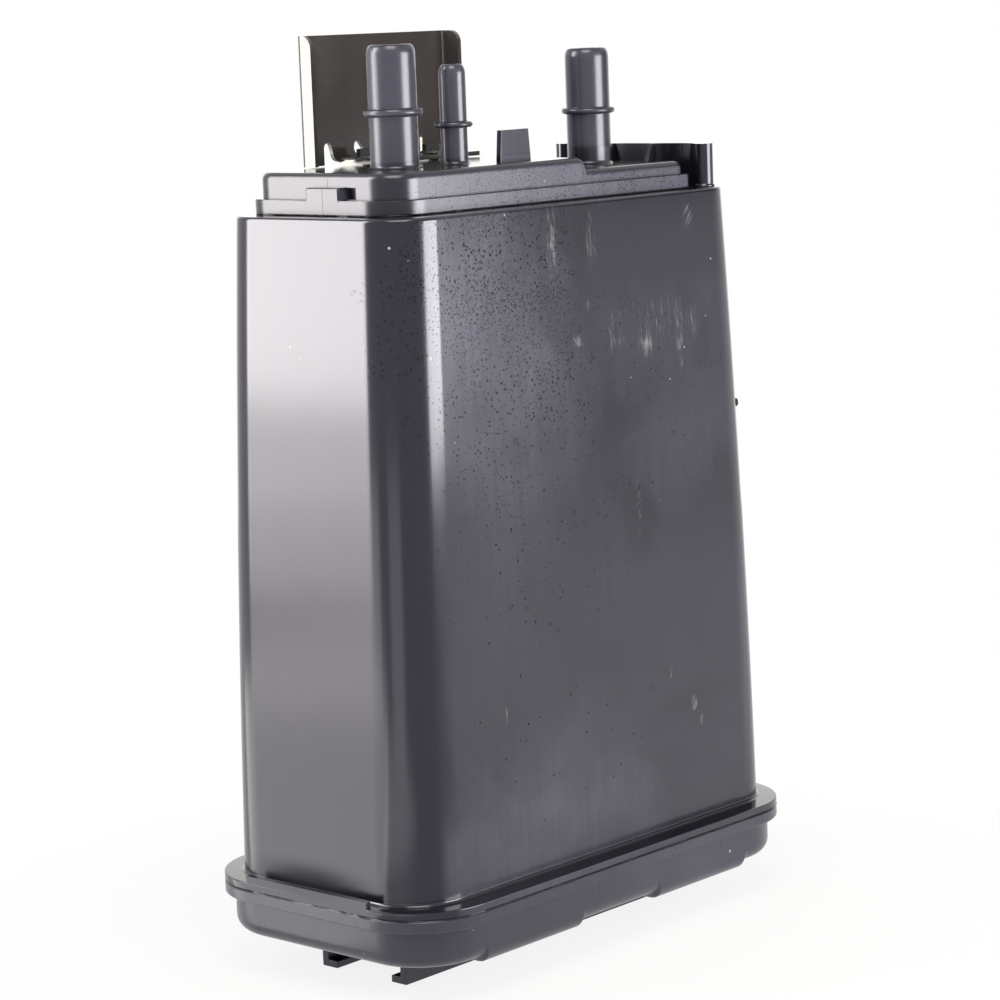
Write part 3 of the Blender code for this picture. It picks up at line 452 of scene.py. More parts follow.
# pale dust: scattered specks, and a film that gathers on faces that look up
dust_group, board, given, result = new_group(
    "dust", (("Vector", "Vector", None), ("Specks", "Float", 0.25), ("Film", "Float", 0.1)),
    (("Mask", "Float"),))
cells = board.cells(given["Vector"], 240.0)
split = board.put("SeparateColor")
board.wire(cells["Color"], split.inputs[0])
chosen = board.math("LESS_THAN", split.outputs[0], given["Specks"])
radius = board.times(board.math("POWER", split.outputs[1], 3.0), 0.16)
near = board.ramp(cells["Distance"], board.plus(radius, 0.03), board.times(radius, 0.6))
specks = board.times(near, chosen)
upright = board.axes(board.put("NewGeometry").outputs["Normal"])[2]
film = board.times(board.ramp(upright, 0.5, 1.0),
                   board.noise(given["Vector"], 130.0, 4.0, 0.65))
board.wire(board.math("MAXIMUM", specks, board.times(film, given["Film"])), result["Mask"])

# one soft-edged patch of a surface, as an ellipsoid in the object's own coordinates
patch_group, board, given, result = new_group(
    "patch", (("Vector", "Vector", None), ("Centre", "Vector", None), ("Reach", "Vector", None)),
    (("Mask", "Float"),))
offset = board.vector("SUBTRACT", given["Vector"], given["Centre"])
length = board.vector("LENGTH", board.vector("DIVIDE", offset, given["Reach"]), out="Value")
board.wire(board.ramp(length, 1.08, 0.10), result["Mask"])


plain_specular = 0.54           # set to match the photograph


def new_material(name, roughness, specular=plain_specular, metallic=0.0):
    """An empty principled material, its board, its shader and its object coordinates."""
    material = bpy.data.materials.new(name)
    material.use_nodes = True
    board = Board(material.node_tree)
    shader = material.node_tree.nodes["Principled BSDF"]
    shader.inputs["Roughness"].default_value = roughness
    shader.inputs["Specular IOR Level"].default_value = specular
    shader.inputs["Metallic"].default_value = metallic
    return material, board, shader, board.put("TexCoord").outputs["Object"]


def relief(board, shader, *layers):
    """Chain bumps of (height, depth in metres) into the shader's normal."""
    normal = None
    for height, depth in layers:
        bump = board.put("Bump")
        bump.inputs["Strength"].default_value = 1.0
        bump.inputs["Distance"].default_value = depth
        board.wire(height, bump.inputs["Height"])
        if normal is not None:
            board.wire(normal, bump.inputs["Normal"])
        normal = bump.outputs["Normal"]
    board.wire(normal, shader.inputs["Normal"])


def highest(board, masks):
    top = masks[0]
    for mask in masks[1:]:
        top = board.math("MAXIMUM", top, mask)
    return top


def nylon(name, dark, light, roughness, haze_level, haze=(), clear=(), drops=(), scuffs=(),
          specks=0.1, wide_only=True, hazy_above=9.0, sink_x=None, dull=()):
    """Black moulded nylon with a dusty haze. The lists name places on the wide face in mm:
    haze and clear areas (x, z, reach x, reach z, strength), drops (the same and cells per
    metre) and scuffs (x, z, reach x, reach z, lean in degrees, density). The haze lies on
    the wide faces, and all round above a level; dull lists places that mirror less."""
    material, board, shader, place = new_material(name, roughness)
    shader.inputs["Specular Tint"].default_value = (0.86, 0.85, 1.0, 1.0)
    skin_out = board.group(skin_group, Vector=place)

    # places drift up to 25 mm either way, so that patches get ragged edges
    drift = board.put("VectorMath", operation="MULTIPLY_ADD")
    board.wire(board.noise(place, 42.0, 3.0, out="Color"), drift.inputs[0])
    drift.inputs[1].default_value = (0.050, 0.0, 0.050)
    board.wire(place, drift.inputs[2])
    drifted = board.vector("SUBTRACT", drift.outputs[0], (0.025, 0.0, 0.025))

    def zone(x, z, reach_x, reach_z, at=place):
        return board.group(patch_group, Vector=at, Centre=(x / 1000, -0.043, z / 1000),
                           Reach=(reach_x / 1000, 0.03, reach_z / 1000))["Mask"]

    facing = board.axes(board.put("NewGeometry").outputs["Normal"])
    up = board.math("MAXIMUM", facing[2], 0.0)
    wide = board.ramp(board.math("ABSOLUTE", facing[1]), 0.90, 0.985)
    cloud = board.plus(board.times(skin_out["Tone"], 0.9), board.times(skin_out["Streaks"], 0.55))
    level = board.times(board.plus(cloud, 0.28), haze_level)
    for x, z, reach_x, reach_z, strength in haze:
        patch = zone(x, z, reach_x, reach_z, drifted)
        level = board.plus(level, board.times(patch, board.times(cloud, strength)))
    for x, z, reach_x, reach_z, strength in clear:
        patch = zone(x, z, reach_x, reach_z, drifted)
        level = board.times(level, board.math("SUBTRACT", 1.0, board.times(patch, strength)))
    if wide_only:
        height, full = board.axes(place)[2], hazy_above + 0.002
        below = board.times(wide, board.ramp(height, full, hazy_above))
        above = board.times(board.ramp(height, hazy_above, full), 0.42)
        level = board.times(level, board.math("MAXIMUM", below, above))
    level = board.times(level, board.ramp(up, 0.9, 0.1), clamp=True)
    masks = [board.group(drop_group, Vector=place, Cells=cells, Share=share,
                         Zone=zone(x, z, reach_x, reach_z, drifted))["Mask"]
             for x, z, reach_x, reach_z, share, cells in drops]
    drop = board.times(highest(board, masks), board.ramp(up, 0.9, 0.1)) if masks else 0.0
    masks = [board.group(scuff_group, Vector=place, Zone=zone(x, z, reach_x, reach_z),
                         Lean=math.radians(lean), Density=density)["Mask"]
             for x, z, reach_x, reach_z, lean, density in scuffs]
    scuff = highest(board, masks) if masks else 0.0
    dust = board.group(dust_group, Vector=place, Specks=specks, Film=0.0)["Mask"]
    colour = board.blend(skin_out["Tone"], dark, light)
    haze_colour, drop_colour = (0.165, 0.168, 0.233, 1.0), (0.024, 0.024, 0.029, 1.0)
    scuff_colour, dust_colour = (0.48, 0.48, 0.53, 1.0), (0.62, 0.60, 0.62, 1.0)
    for share, over in ((level, haze_colour), (drop, drop_colour),
                        (board.times(scuff, 0.42), scuff_colour),
                        (board.times(dust, 0.8), dust_colour)):
        colour = board.blend(share, colour, over)
    board.wire(colour, shader.inputs["Base Color"])
    rough = board.plus(roughness - 0.02, board.times(skin_out["Streaks"], 0.04))
    # dull drops mirror less than the nylon, like a very dark metal
    board.wire(drop, shader.inputs["Metallic"])
    rough = board.plus(rough, board.times(board.math("MAXIMUM", scuff, dust), 0.2))
    # faces that look up were polished in the mould
    polish = board.times(board.ramp(up, 0.90, 0.995), 0.55)
    rough = board.times(rough, board.math("SUBTRACT", 1.0, polish), clamp=True)
    board.wire(rough, shader.inputs["Roughness"])
    # a dull place mirrors less and so shows darker; the housing's place above its lip is painted
    # shade
    if dull:
        patches = [board.times(board.group(patch_group, Vector=place, Centre=centre,
                                           Reach=reach)["Mask"], strength)
                   for centre, reach, strength in dull]
        dulled = highest(board, patches)
        board.wire(board.math("SUBTRACT", plain_specular, dulled),
                   shader.inputs["Specular IOR Level"])
        board.wire(board.plus(rough, board.times(dulled, 0.9)), shader.inputs["Roughness"])
    layers = [(skin_out["Waves"], 0.00005), (skin_out["Grain"], 0.0000014)]
    if sink_x is not None:
        layers.append((zone(sink_x * 1000, 150, 2.2, 62), -0.00006))
    relief(board, shader, *layers)
    return material


housing_nylon = nylon(
    "housing nylon", (0.0056, 0.0056, 0.0100, 1.0), (0.0088, 0.0088, 0.0142, 1.0), 0.17, 0.06,
    haze=[(-66, 222, 62, 66, 0.50), (-33, 180, 40, 50, 0.16), (-22, 190, 24, 22, 0.10),
          (46, 168, 32, 30, 0.13), (36, 205, 44, 20, 0.06), (-50, 150, 38, 76, 0.08),
          (-44, 40, 84, 34, 0.30), (-20, 60, 60, 40, 0.10), (70, 185, 24, 40, 0.08)],
    clear=[(14, 176, 10, 30, 0.8), (24, 144, 11, 26, 0.7), (-3, 236, 12, 22, 0.8),
           (46, 79, 28, 10, 0.7), (66, 196, 12, 10, 0.4)],
    drops=[(-50, 222, 66, 62, 0.95, 800.0), (-46, 226, 66, 62, 0.80, 1250.0),
           (-34, 176, 60, 70, 0.25, 800.0), (10, 190, 80, 80, 0.08, 900.0),
           (-10, 110, 90, 90, 0.035, 700.0)],
    scuffs=[(-15.5, 236, 3.5, 20, 3, 0.62), (14, 206, 7, 11, 8, 0.55), (30, 201, 5, 11, 4, 0.72),
            (48, 201, 3, 16, 3, 0.68), (56, 204, 4, 8, 2, 0.55), (38, 208, 26, 14, 4, 0.42),
            (55, 240.5, 4, 7, -38, 0.55), (1, 216, 1.2, 4, 6, 0.72), (-5, 204, 4, 3, 30, 0.7),
            (4, 238, 4, 14, 0, 0.48), (22, 147, 2, 14, -38, 0.55), (47.5, 74, 2.2, 4, -20, 0.85),
            (35.5, 87, 1.6, 4, -20, 0.6), (51.5, 68, 1.6, 5, -24, 0.55),
            (-49, 88, 1.2, 5, 14, 0.6)],
    specks=0.06, sink_x=0.0034,
    dull=[((0.0735, -0.0025, can_top_z + 0.008), (0.006, 0.020, 0.028), 0.46),
          # the second dull place is painted shade: the end wall just above the lip mirrors less,
          # standing in for the lip's dark reflection there
          ((-0.0935, 0.002, can_flange_top_z + 0.0035), (0.008, 0.034, 0.0080), 0.34)])
can.data.materials.append(housing_nylon)

# Port cover
# A hollow cap in two tiers, moulded in the same nylon and hot-plate welded on the can's
# top face. Its three hose tubes, the upright tab and the key block are part of it.

cap_near_x, cap_far_x = -0.0757, 0.0712
cap_rear_half, cap_rear_corner = 0.0388, 0.0112
cap_front_half, cap_front_corner = 0.0297, 0.0137
cap_lean = 0.0325               # how much the front wall comes forward along x
cap_far_corner = 0.0085
cap_base_z = can_top_z + 0.0002
cap_low_z = can_top_z + 0.0003
cap_tier_z = can_top_z + 0.0050
cap_top_z = cap_tier_z + 0.00835
cap_drop = 0.00405
cap_step_x = 0.0164
cap_step_round = 0.0027
cap_step_root = 0.0008
cap_inset = 0.0026
cap_edge = 0.0024
cap_wall = 0.0024


def cap_level(x):
    """Level of the cap's top along x: high, a rounded step down with a small root, low."""
    start = cap_step_x - cap_step_round
    root = cap_step_root
    if x <= start:
        return cap_top_z
    if x < cap_step_x:
        run = (x - start) / cap_step_round
        return cap_top_z - (cap_drop - root) * (1 - math.sqrt(max(1 - run * run, 0.0)))
    if x < cap_step_x + root:
        run = (x - cap_step_x) / root
        return cap_top_z - cap_drop + root * (1 - math.sqrt(max(1 - (1 - run) ** 2, 0.0)))
    return cap_top_z - cap_drop


def cap_plan(inset, stops=()):
    """Outline of the cap, whose front wall stands further in than the rear wall."""
    front, rear = (outline(cap_near_x + inset, cap_far_x - inset, half - inset, corner - inset,
                           cap_far_corner - inset, 16, stops)
                   for half, corner in ((cap_front_half, cap_front_corner),
                                        (cap_rear_half, cap_rear_corner)))
    count = len(front) // 2
    return [(x, y - cap_lean * (x - cap_near_x)) for x, y in front[:count]] + rear[count:]


base = []
for inset, z in ((0.0012, cap_base_z), (0.0012, cap_low_z), (0.0002, cap_low_z),
                 (0.0, cap_low_z + 0.0002), (0.0, cap_tier_z - 0.0005),
                 (0.00015, cap_tier_z - 0.00015), (0.0005, cap_tier_z)):
    base.append([(x, y, z) for x, y in cap_plan(inset)])
cap = skin("port_cap", base)
stops = [cap_step_x - cap_step_round + cap_step_round * math.sin(turn) for turn in quarter(8)]
stops += [cap_step_x + cap_step_root * (1 - math.cos(turn)) for turn in quarter(3, 1)]


def tier_ring(inset, sink):
    return [(x, y, cap_level(x) - sink) for x, y in cap_plan(cap_inset + inset, stops)]


tier = [[(x, y, cap_tier_z - 0.0024) for x, y, _ in tier_ring(0.0, 0.0)]]
for turn in quarter(7):
    tier.append(tier_ring(cap_edge * (1 - math.cos(turn)), cap_edge * (1 - math.sin(turn))))
fuse(cap, skin("upper tier", tier, strips=True))

# key block that carries the lower tier's end face up, and the slot beside it
key_front_y, key_rear_y, key_top_z = -0.0055, 0.0091, cap_tier_z + 0.0039
key_slot_y = -0.0109            # front end of the slot
key = slab("key", cap_near_x - 0.00004, cap_near_x + 0.0050, key_front_y, key_rear_y,
           cap_low_z + 0.0008, key_top_z)
fuse(cap, ease_edges(key, 0.0006, segments=3))
slot = slab("key slot", cap_near_x - 0.001, cap_near_x + cap_inset + 0.0018, key_slot_y,
            key_front_y, cap_tier_z + 0.0001, key_top_z, corner=0.0004, steps=2)
fuse(cap, slot, operation="DIFFERENCE")
for x, z0, z1 in ((cap_near_x, cap_low_z, cap_tier_z + 0.0042),
                  (cap_near_x + cap_inset, cap_tier_z + 0.0036, cap_top_z)):
    fuse(cap, slab("parting line", x - 0.0010, x + 0.00014, 0.00150, 0.00164, z0, z1),
         operation="DIFFERENCE")
tab_x, tab_foot, tab_head = -0.0042, 0.0077, 0.0067     # middle and half lengths
tab_root_z, tab_top_z = cap_top_z - 0.0012, cap_top_z + 0.0103
tab = extrude("tab", [(tab_x - tab_foot, tab_root_z), (tab_x + tab_foot, tab_root_z),
                      (tab_x + tab_head, tab_top_z), (tab_x - tab_head, tab_top_z)],
              -0.0175, -0.0155, "y")
fuse(cap, ease_edges(tab, 0.0002))

ports = (("tank", -0.0468, -0.0032, 0.0079, 0.0018, 0.0395, 0.0179, 0.00965, 0.0026, cap_top_z),
         ("purge", -0.0239, -0.0084, 0.0044, 0.0016, 0.0323, 0.0129, 0.00625, 0.0020, cap_top_z),
         ("vent", 0.0500, -0.0035, 0.0075, 0.0018, 0.0393, 0.0181, 0.0092, 0.0022,
          cap_top_z - cap_drop))
for name, x, y, radius, wall, height, bead_height, bead_radius, bead_thick, top in ports:
    flare = 0.0013
    profile = [(radius + flare + 0.0002, top - 0.0012), (radius + flare + 0.0002, top + 0.00002)]
    for turn in quarter(5, 1):
        profile.append((radius + flare * (1 - math.sin(turn)), top + flare * (1 - math.cos(turn))))
    middle, half = top + bead_height, bead_thick / 2
    rise = bead_radius - radius
    profile += [(radius, middle - half - 0.0003), (radius + 0.0001, middle - half)]
    for i in range(1, 8):
        turn = math.pi * (i / 8 - 0.5)
        profile.append((radius + rise * (0.35 + 0.65 * math.cos(turn)),
                        middle + half * math.sin(turn)))
    profile += [(radius + 0.0001, middle + half), (radius, middle + half + 0.0003)]
    tip, nose, nose_height = top + height, min(0.0016, wall - 0.0001), 0.0032
    for turn in quarter(6):
        profile.append((radius - nose * (1 - math.cos(turn)),
                        tip - nose_height * (1 - math.sin(turn))))
    fuse(cap, lathe("tube", profile, x, y, 64, seams=(0.0, math.pi), seam_height=0.00005))
    bore = radius - wall
    fuse(cap, lathe("bore", [(bore, top - cap_wall - 0.002), (bore, tip - 0.0004),
                             (bore + 0.0001, tip - 0.0001), (bore + 0.0002, tip + past)],
                    x, y, 40), operation="DIFFERENCE")

room_front, room_rear = cap_wall + cap_inset - cap_front_half, cap_rear_half - cap_inset - cap_wall
for low, high, roof in ((cap_near_x + 0.0050, -0.0361, cap_top_z), (-0.0339, 0.0135, cap_top_z),
                        (0.0186, cap_far_x - 0.0050, cap_top_z - cap_drop)):
    fuse(cap, slab("room", low, high, room_front, room_rear, cap_base_z - past, roof - cap_wall,
                   corner=0.004), operation="DIFFERENCE")
even_shading(cap)
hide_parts("port_cover")
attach(cap, "root")
cap_nylon = nylon(
    "cap nylon", (0.0080, 0.0080, 0.0120, 1.0), (0.0120, 0.0120, 0.0168, 1.0), 0.26, 0.58,
    drops=[(-14, 254, 120, 40, 0.70, 1250.0), (-14, 254, 120, 40, 0.70, 2000.0),
           (-46, 290, 14, 34, 0.16, 1300.0), (50, 286, 14, 34, 0.16, 1300.0)],
    specks=0.08, hazy_above=cap_top_z + 0.0010)
cap.data.materials.append(cap_nylon)

# Mounting bracket
# One folded steel sheet, stamped and painted black. Both ends are folded forward as side
# flanges, and a foot folded forward at the bottom is screwed on the cap.

sheet = 0.0015
plate_left, plate_right = -0.0505, 0.0205
plate_back = 0.0360
plate_front = plate_back - sheet
plate_top_z = cap_top_z + 0.0430
foot_z = cap_top_z + 0.0003
fold = 0.0022                   # outer radius of a fold
left_reach, right_reach = 0.0052, 0.0070


def fold_arc(centre, radius, start):
    return [(centre[0] + radius * math.cos(start + turn),
             centre[1] + radius * math.sin(start + turn)) for turn in quarter(6)]


inner_fold = fold - sheet
left_centre = (plate_left + fold, plate_back - fold)
right_centre = (plate_right - fold, plate_back - fold)
plan = [(plate_right - sheet, plate_front - right_reach), (plate_right, plate_front - right_reach)]
plan += fold_arc(right_centre, fold, 0.0)
plan += fold_arc(left_centre, fold, math.pi / 2)
plan += [(plate_left, plate_front - left_reach), (plate_left + sheet, plate_front - left_reach)]
plan += fold_arc(left_centre, inner_fold, math.pi / 2)[::-1]
plan += fold_arc(right_centre, inner_fold, 0.0)[::-1]
bracket = skin("bracket_plate", [[(x, y, z) for x, y in plan] for z in (foot_z, plate_top_z)])
for x0, x1, reach in ((plate_left - past, plate_left + 0.003, left_reach),
                      (plate_right - 0.003, plate_right + past, right_reach)):
    front_edge, radius = plate_front - reach, 0.0042
    corner = [(front_edge - past, plate_top_z + past), (front_edge - past, plate_top_z - radius)]
    for turn in quarter(10):
        corner.append((front_edge + radius * (1 - math.cos(turn)),
                       plate_top_z - radius * (1 - math.sin(turn))))
    corner.append((front_edge + radius, plate_top_z + past))
    fuse(bracket, extrude("corner", corner, x0, x1, "x"), operation="DIFFERENCE")

# the foot, with its fold into the plate
foot_left, foot_right, foot_depth = -0.0331, 0.0235, 0.0150
notch_width, notch_flare = 0.0036, 0.0038
fuse(bracket, slab("clearance", foot_left, plate_right + 0.001, plate_front - past,
                   plate_back + past, foot_z - past, foot_z + fold + 0.0001),
     operation="DIFFERENCE")
bend_centre = (plate_back - fold, foot_z + fold)
arc_out, arc_in = ([(bend_centre[0] + radius * math.cos(turn),
                     bend_centre[1] - radius * math.sin(turn)) for turn in quarter(6)]
                   for radius in (fold, inner_fold))
side = [(plate_back, foot_z + fold + 0.0006)] + arc_out + [(plate_back - foot_depth, foot_z),
        (plate_back - foot_depth, foot_z + sheet)] + arc_in[::-1] \
    + [(plate_front, foot_z + fold + 0.0006)]
fuse(bracket, extrude("foot", side, foot_left, plate_right, "x"))
fuse(bracket, slab("tongue", plate_right - 0.006, foot_right, plate_back - foot_depth,
                   plate_back - 0.0022, foot_z + 0.00001, foot_z + sheet - 0.00001, corner=0.004))
half = notch_width / 2
window_left = plate_left + 0.0096
middle = window_left + half
window = [(window_left, foot_z - past), (foot_left, foot_z - past)]
for turn in quarter(8):
    window.append((foot_left - notch_flare * math.sin(turn),
                   foot_z + sheet / 2 + notch_flare * (1 - math.cos(turn))))
for i in range(11):
    turn = math.pi * i / 10
    window.append((middle + half * math.cos(turn),
                   cap_top_z + 0.0077 - half + half * math.sin(turn)))
fuse(bracket, extrude("window", window, plate_front - 0.02, plate_back + past, "y"),
     operation="DIFFERENCE")
drop_slot = [(-0.0264, 0.0070), (-0.0268, 0.0054), (-0.0262, 0.0041), (-0.0246, 0.0028),
             (-0.0228, 0.0022), (-0.0218, 0.0023), (-0.0214, 0.0034), (-0.0222, 0.0052),
             (-0.0236, 0.0070), (-0.0250, 0.0079), (-0.0258, 0.0077)]
thin_slit = [(0.0055, 0.0023), (0.0069, 0.0023), (0.0069, 0.0072), (0.0062, 0.0080),
             (0.0055, 0.0072)]
for shape in (drop_slot, thin_slit):
    fuse(bracket, extrude("relief", [(x, cap_top_z + z) for x, z in shape], plate_front - 0.0012,
                          plate_back + past, "y"), operation="DIFFERENCE")
ease_edges(bracket, 0.00022)
even_shading(bracket)
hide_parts("mounting_bracket")
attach(bracket, "root")

material, board, shader, place = new_material("black painted steel", 0.16, specular=0.62)
orange_peel = board.noise(place, 420.0, 2.0)
fine = board.noise(place, 2600.0, 2.0)
dust = board.group(dust_group, Vector=place, Specks=0.10, Film=0.20)["Mask"]
left_part = board.group(patch_group, Vector=place, Centre=(-0.044, plate_front, 0.292),
                        Reach=(0.024, 0.01, 0.030))["Mask"]
grime = board.times(board.ramp(board.noise(place, 620.0, 3.0, 0.7), 0.42, 0.66),
                    board.plus(left_part, 0.25))
tone = board.noise(place, 45.0, 3.0, 0.6)
paint_dark, paint_light = (0.04347, 0.03848, 0.03922, 1.0), (0.0592, 0.05273, 0.05402, 1.0)
grime_colour, dust_colour = (0.0629, 0.05735, 0.06475, 1.0), (0.4625, 0.444, 0.4255, 1.0)
colour = board.blend(tone, paint_dark, paint_light)
colour = board.blend(board.times(grime, 0.20), colour, grime_colour)
colour = board.blend(board.times(dust, 0.7), colour, dust_colour)
board.wire(colour, shader.inputs["Base Color"])
rough = board.plus(board.times(tone, 0.08), 0.10)
board.wire(board.plus(rough, board.times(grime, 0.02)), shader.inputs["Roughness"])
relief(board, shader, (orange_peel, 0.00002), (fine, 0.000003))
bracket.data.materials.append(material)

# Bracket screws
# Two thread-forming hexagon screws with pressed washers, black plated, driven down
# through the bracket's foot into bosses inside the cap.

material, board, shader, place = new_material("black plated screw", 0.22)
tone = board.noise(place, 350.0, 3.0, 0.6)
board.wire(board.blend(tone, (0.0185, 0.0185, 0.02035, 1.0), (0.037, 0.037, 0.03885, 1.0)),
           shader.inputs["Base Color"])
board.wire(board.plus(board.times(tone, 0.16), 0.16), shader.inputs["Roughness"])
relief(board, shader, (board.noise(place, 1800.0, 2.0), 0.000005))
screw_black = material
seat = foot_z + sheet + 0.0003
shank, washer, hex_width = 0.0025, 0.0052, 0.0080       # two radii, and the head across its flats
for side, x in (("left", -0.0280), ("right", 0.0040)):
    y = plate_front - 0.0085
    profile = [(0.0016, seat - 0.0100), (shank, seat - 0.0092), (shank, seat), (washer, seat),
               (washer, seat + 0.0003), (0.0050, seat + 0.0006), (0.0046, seat + 0.0009),
               (0.0044, seat + 0.0009)]
    screw = lathe("screw_" + side, profile, x, y, 36)
    corner = hex_width / 2 / math.cos(math.pi / 6)
    fuse(screw, lathe("hex", [(corner, seat + 0.0004), (corner, seat + 0.0032)], x, y, 6))
    fuse(screw, lathe("crown", [(0.0068, seat - 0.011), (0.0068, seat + 0.0020),
                                (0.00385, seat + 0.00325), (0.0020, seat + 0.00325)], x, y, 36),
         operation="INTERSECT")
    ease_edges(screw, 0.00015)
    even_shading(screw)
    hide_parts("bracket_screw_" + side)
    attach(screw, "root")
    screw.data.materials.append(screw_black)

# Bottom cover
# A shallow tray in the same nylon, welded flange to flange under the can. Two pockets
# of its floor hang lower to guide the springs, and two L-shaped rails slide on a holder.

tray_bottom_z = 0.0130
tray_flange_z = 0.0262
tray_top_z = 0.0301
tray_half = (flange_half[0] - 0.0034, flange_half[1] - 0.0034)
tray_corner = 0.0228
tray_edge = 0.0050
tray_wall = 0.0025
pocket_drop, pocket_inner, pocket_outer, pocket_slope = 0.0020, 0.0187, 0.0690, 0.0022


def pocket_level(x):
    """How far the floor hangs below the tray's bottom at a place along x."""
    across = abs(x)
    rise = min(across - pocket_inner, pocket_outer - across) / pocket_slope
    return pocket_drop * (0.5 - 0.5 * math.cos(math.pi * min(max(rise, 0.0), 1.0)))


pocket_stops = []
for i in range(9):
    run = pocket_slope * i / 8
    pocket_stops += [pocket_inner + run, pocket_outer - run]
pocket_stops = sorted([-x for x in pocket_stops] + pocket_stops)


def tray_ring(half_x, half_y, corner, z, drops, steps=18):
    return [(x, y, z - drops * pocket_level(x)) for x, y in
            outline(-half_x, half_x, half_y, corner, corner, steps, pocket_stops)]


rings = []
for turn in quarter(8):
    inset = tray_edge * (1 - math.sin(turn))
    rings.append(tray_ring(tray_half[0] - inset, tray_half[1] - inset, tray_corner - inset,
                           tray_bottom_z + tray_edge * (1 - math.cos(turn)), 1.0))
for share in (0.75, 0.5, 0.25):
    rings.append(tray_ring(*tray_half, tray_corner, tray_flange_z - share * 0.0082, share))
rings.append(tray_ring(*tray_half, tray_corner, tray_flange_z - 0.0005, 0.0))
for reach, z in ((0.00015, tray_flange_z - 0.00015), (0.0005, tray_flange_z),
                 (0.0031, tray_flange_z), (0.0034, tray_flange_z + 0.0003),
                 (0.0034, tray_top_z - 0.0003), (0.0031, tray_top_z)):
    rings.append(tray_ring(tray_half[0] + reach, tray_half[1] + reach, tray_corner + reach, z, 0.0))
tray = skin("bottom_tray", rings, strips=True)
inner = (tray_half[0] - tray_wall, tray_half[1] - tray_wall, tray_corner - tray_wall)
fuse(tray, skin("hollow", [
    tray_ring(*(size - 0.0025 for size in inner), tray_bottom_z + tray_wall, 1.0, 8),
    tray_ring(*inner, tray_bottom_z + tray_wall + 0.0025, 1.0, 8),
    tray_ring(*inner, tray_top_z + past, 0.0, 8)], strips=True), operation="DIFFERENCE")
pocket_floor_z = tray_bottom_z - pocket_drop + tray_wall
post_radius = 0.0095
for x in (-0.0440, 0.0440):
    for y in (-0.0200, 0.0200):
        fuse(tray, lathe("spring post", [(post_radius, pocket_floor_z - 0.0012),
                                         (post_radius, pocket_floor_z + 0.0034),
                                         (0.0089, pocket_floor_z + 0.0040)], x, y, 32))
rail_length, rail_outer, rail_web = 0.1480, 0.0191, 0.0027
rail_foot, rail_foot_wall = 0.0067, 0.0024
for facing_side in (-1, 1):
    shape = [(rail_outer, 0.0), (rail_outer, tray_bottom_z + 0.0003),
             (rail_outer - rail_web, tray_bottom_z + 0.0003),
             (rail_outer - rail_web, rail_foot_wall), (rail_outer - rail_foot, rail_foot_wall),
             (rail_outer - rail_foot, 0.0)]
    fuse(tray, extrude("rail", [(facing_side * y, z) for y, z in shape], -rail_length / 2,
                       rail_length / 2, "x"))
ease_edges(tray, 0.0003, where=lambda p: p.z < tray_bottom_z + 0.0004 and abs(p.y) < 0.0196)
even_shading(tray)
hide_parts("bottom_cover")
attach(tray, "root")
tray_nylon = nylon(
    "tray nylon", (0.0100, 0.0100, 0.0145, 1.0), (0.0154, 0.0154, 0.0208, 1.0), 0.28, 0.13,
    haze=[(40, 24, 90, 30, 0.14)], specks=0.16, wide_only=False)
tray.data.materials.append(tray_nylon)

# Welds
# Hot-plate welding squeezes a thin uneven bead of nylon out between the mouldings: one
# shows under the cap, and one fills the seam between the two flanges.


def weld_bead(name, plan_points, z, reach, height, wobble, seed):
    """A closed bead along an outline; plan_points are (x, y, outward x, outward y)."""
    rings = []
    for x, y, nx, ny in plan_points:
        at = Vector((x * 260.0, y * 260.0, seed))
        swell = 1.0 + wobble * noise.noise(at) * 2.0
        lift = wobble * noise.noise(at * 2.3 + Vector((7.0, 0.0, 0.0))) * height * 0.6
        ring = []
        for k in range(8):
            turn = math.tau * k / 8
            out = reach * swell * math.cos(turn)
            ring.append((x + nx * out, y + ny * out, z + lift + height / 2 * math.sin(turn)))
        rings.append(ring)
    bm = bmesh.new()
    rows = [[bm.verts.new(point) for point in ring] for ring in rings]
    for i, row in enumerate(rows):
        after = rows[(i + 1) % len(rows)]
        for k in range(8):
            bm.faces.new((row[k], row[(k + 1) % 8], after[(k + 1) % 8], after[k]))
    return settle(name, bm, 60.0)


def walk(points, step):
    """Even places along a closed outline with their outward directions."""
    places = []
    for (x0, y0), (x1, y1) in zip(points, points[1:] + points[:1]):
        length = math.hypot(x1 - x0, y1 - y0)
        if length < 1e-7:
            continue
        for k in range(max(1, round(length / step))):
            share = k / max(1, round(length / step))
            places.append((x0 + (x1 - x0) * share, y0 + (y1 - y0) * share,
                           (y1 - y0) / length, -(x1 - x0) / length))
    return places


cap_seam = walk(cap_plan(0.0004), 0.0011)
cap_bead = weld_bead("cap_weld_bead", cap_seam, can_top_z + 0.00022, 0.0005, 0.0005, 0.55, 3.0)
bead_inset, seam_z = 0.0007, 0.03025            # the seam lies between tray and can
bead_corner = flange_corner - bead_inset
flange_seam = walk(outline(-flange_half[0] + bead_inset, flange_half[0] - bead_inset,
                           flange_half[1] - bead_inset, bead_corner, bead_corner, 24), 0.0012)
flange_bead = weld_bead("flange_weld_bead", flange_seam, seam_z, 0.0007, 0.0007, 0.45, 11.0)
weld_nylon = nylon("weld nylon", (0.0090, 0.0090, 0.0126, 1.0), (0.0144, 0.0144, 0.0180, 1.0),
                   0.20, 0.0, specks=0.05)
for bead in (cap_bead, flange_bead):
    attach(bead, "root")
    bead.data.materials.append(weld_nylon)

# Filling
# Foam filters hold two beds of extruded carbon pellets; grid plates and coil springs in
# the cover keep them packed. All of it is closed in and only its solids are kept.

material, board, shader, place = new_material("filter foam", 0.9)
pores = board.cells(place, 900.0)["Distance"]
board.wire(board.blend(board.ramp(pores, 0.1, 0.6), (0.05, 0.05, 0.045, 1.0),
                       (0.20, 0.20, 0.18, 1.0)), shader.inputs["Base Color"])
relief(board, shader, (pores, -0.0003))
foam = material

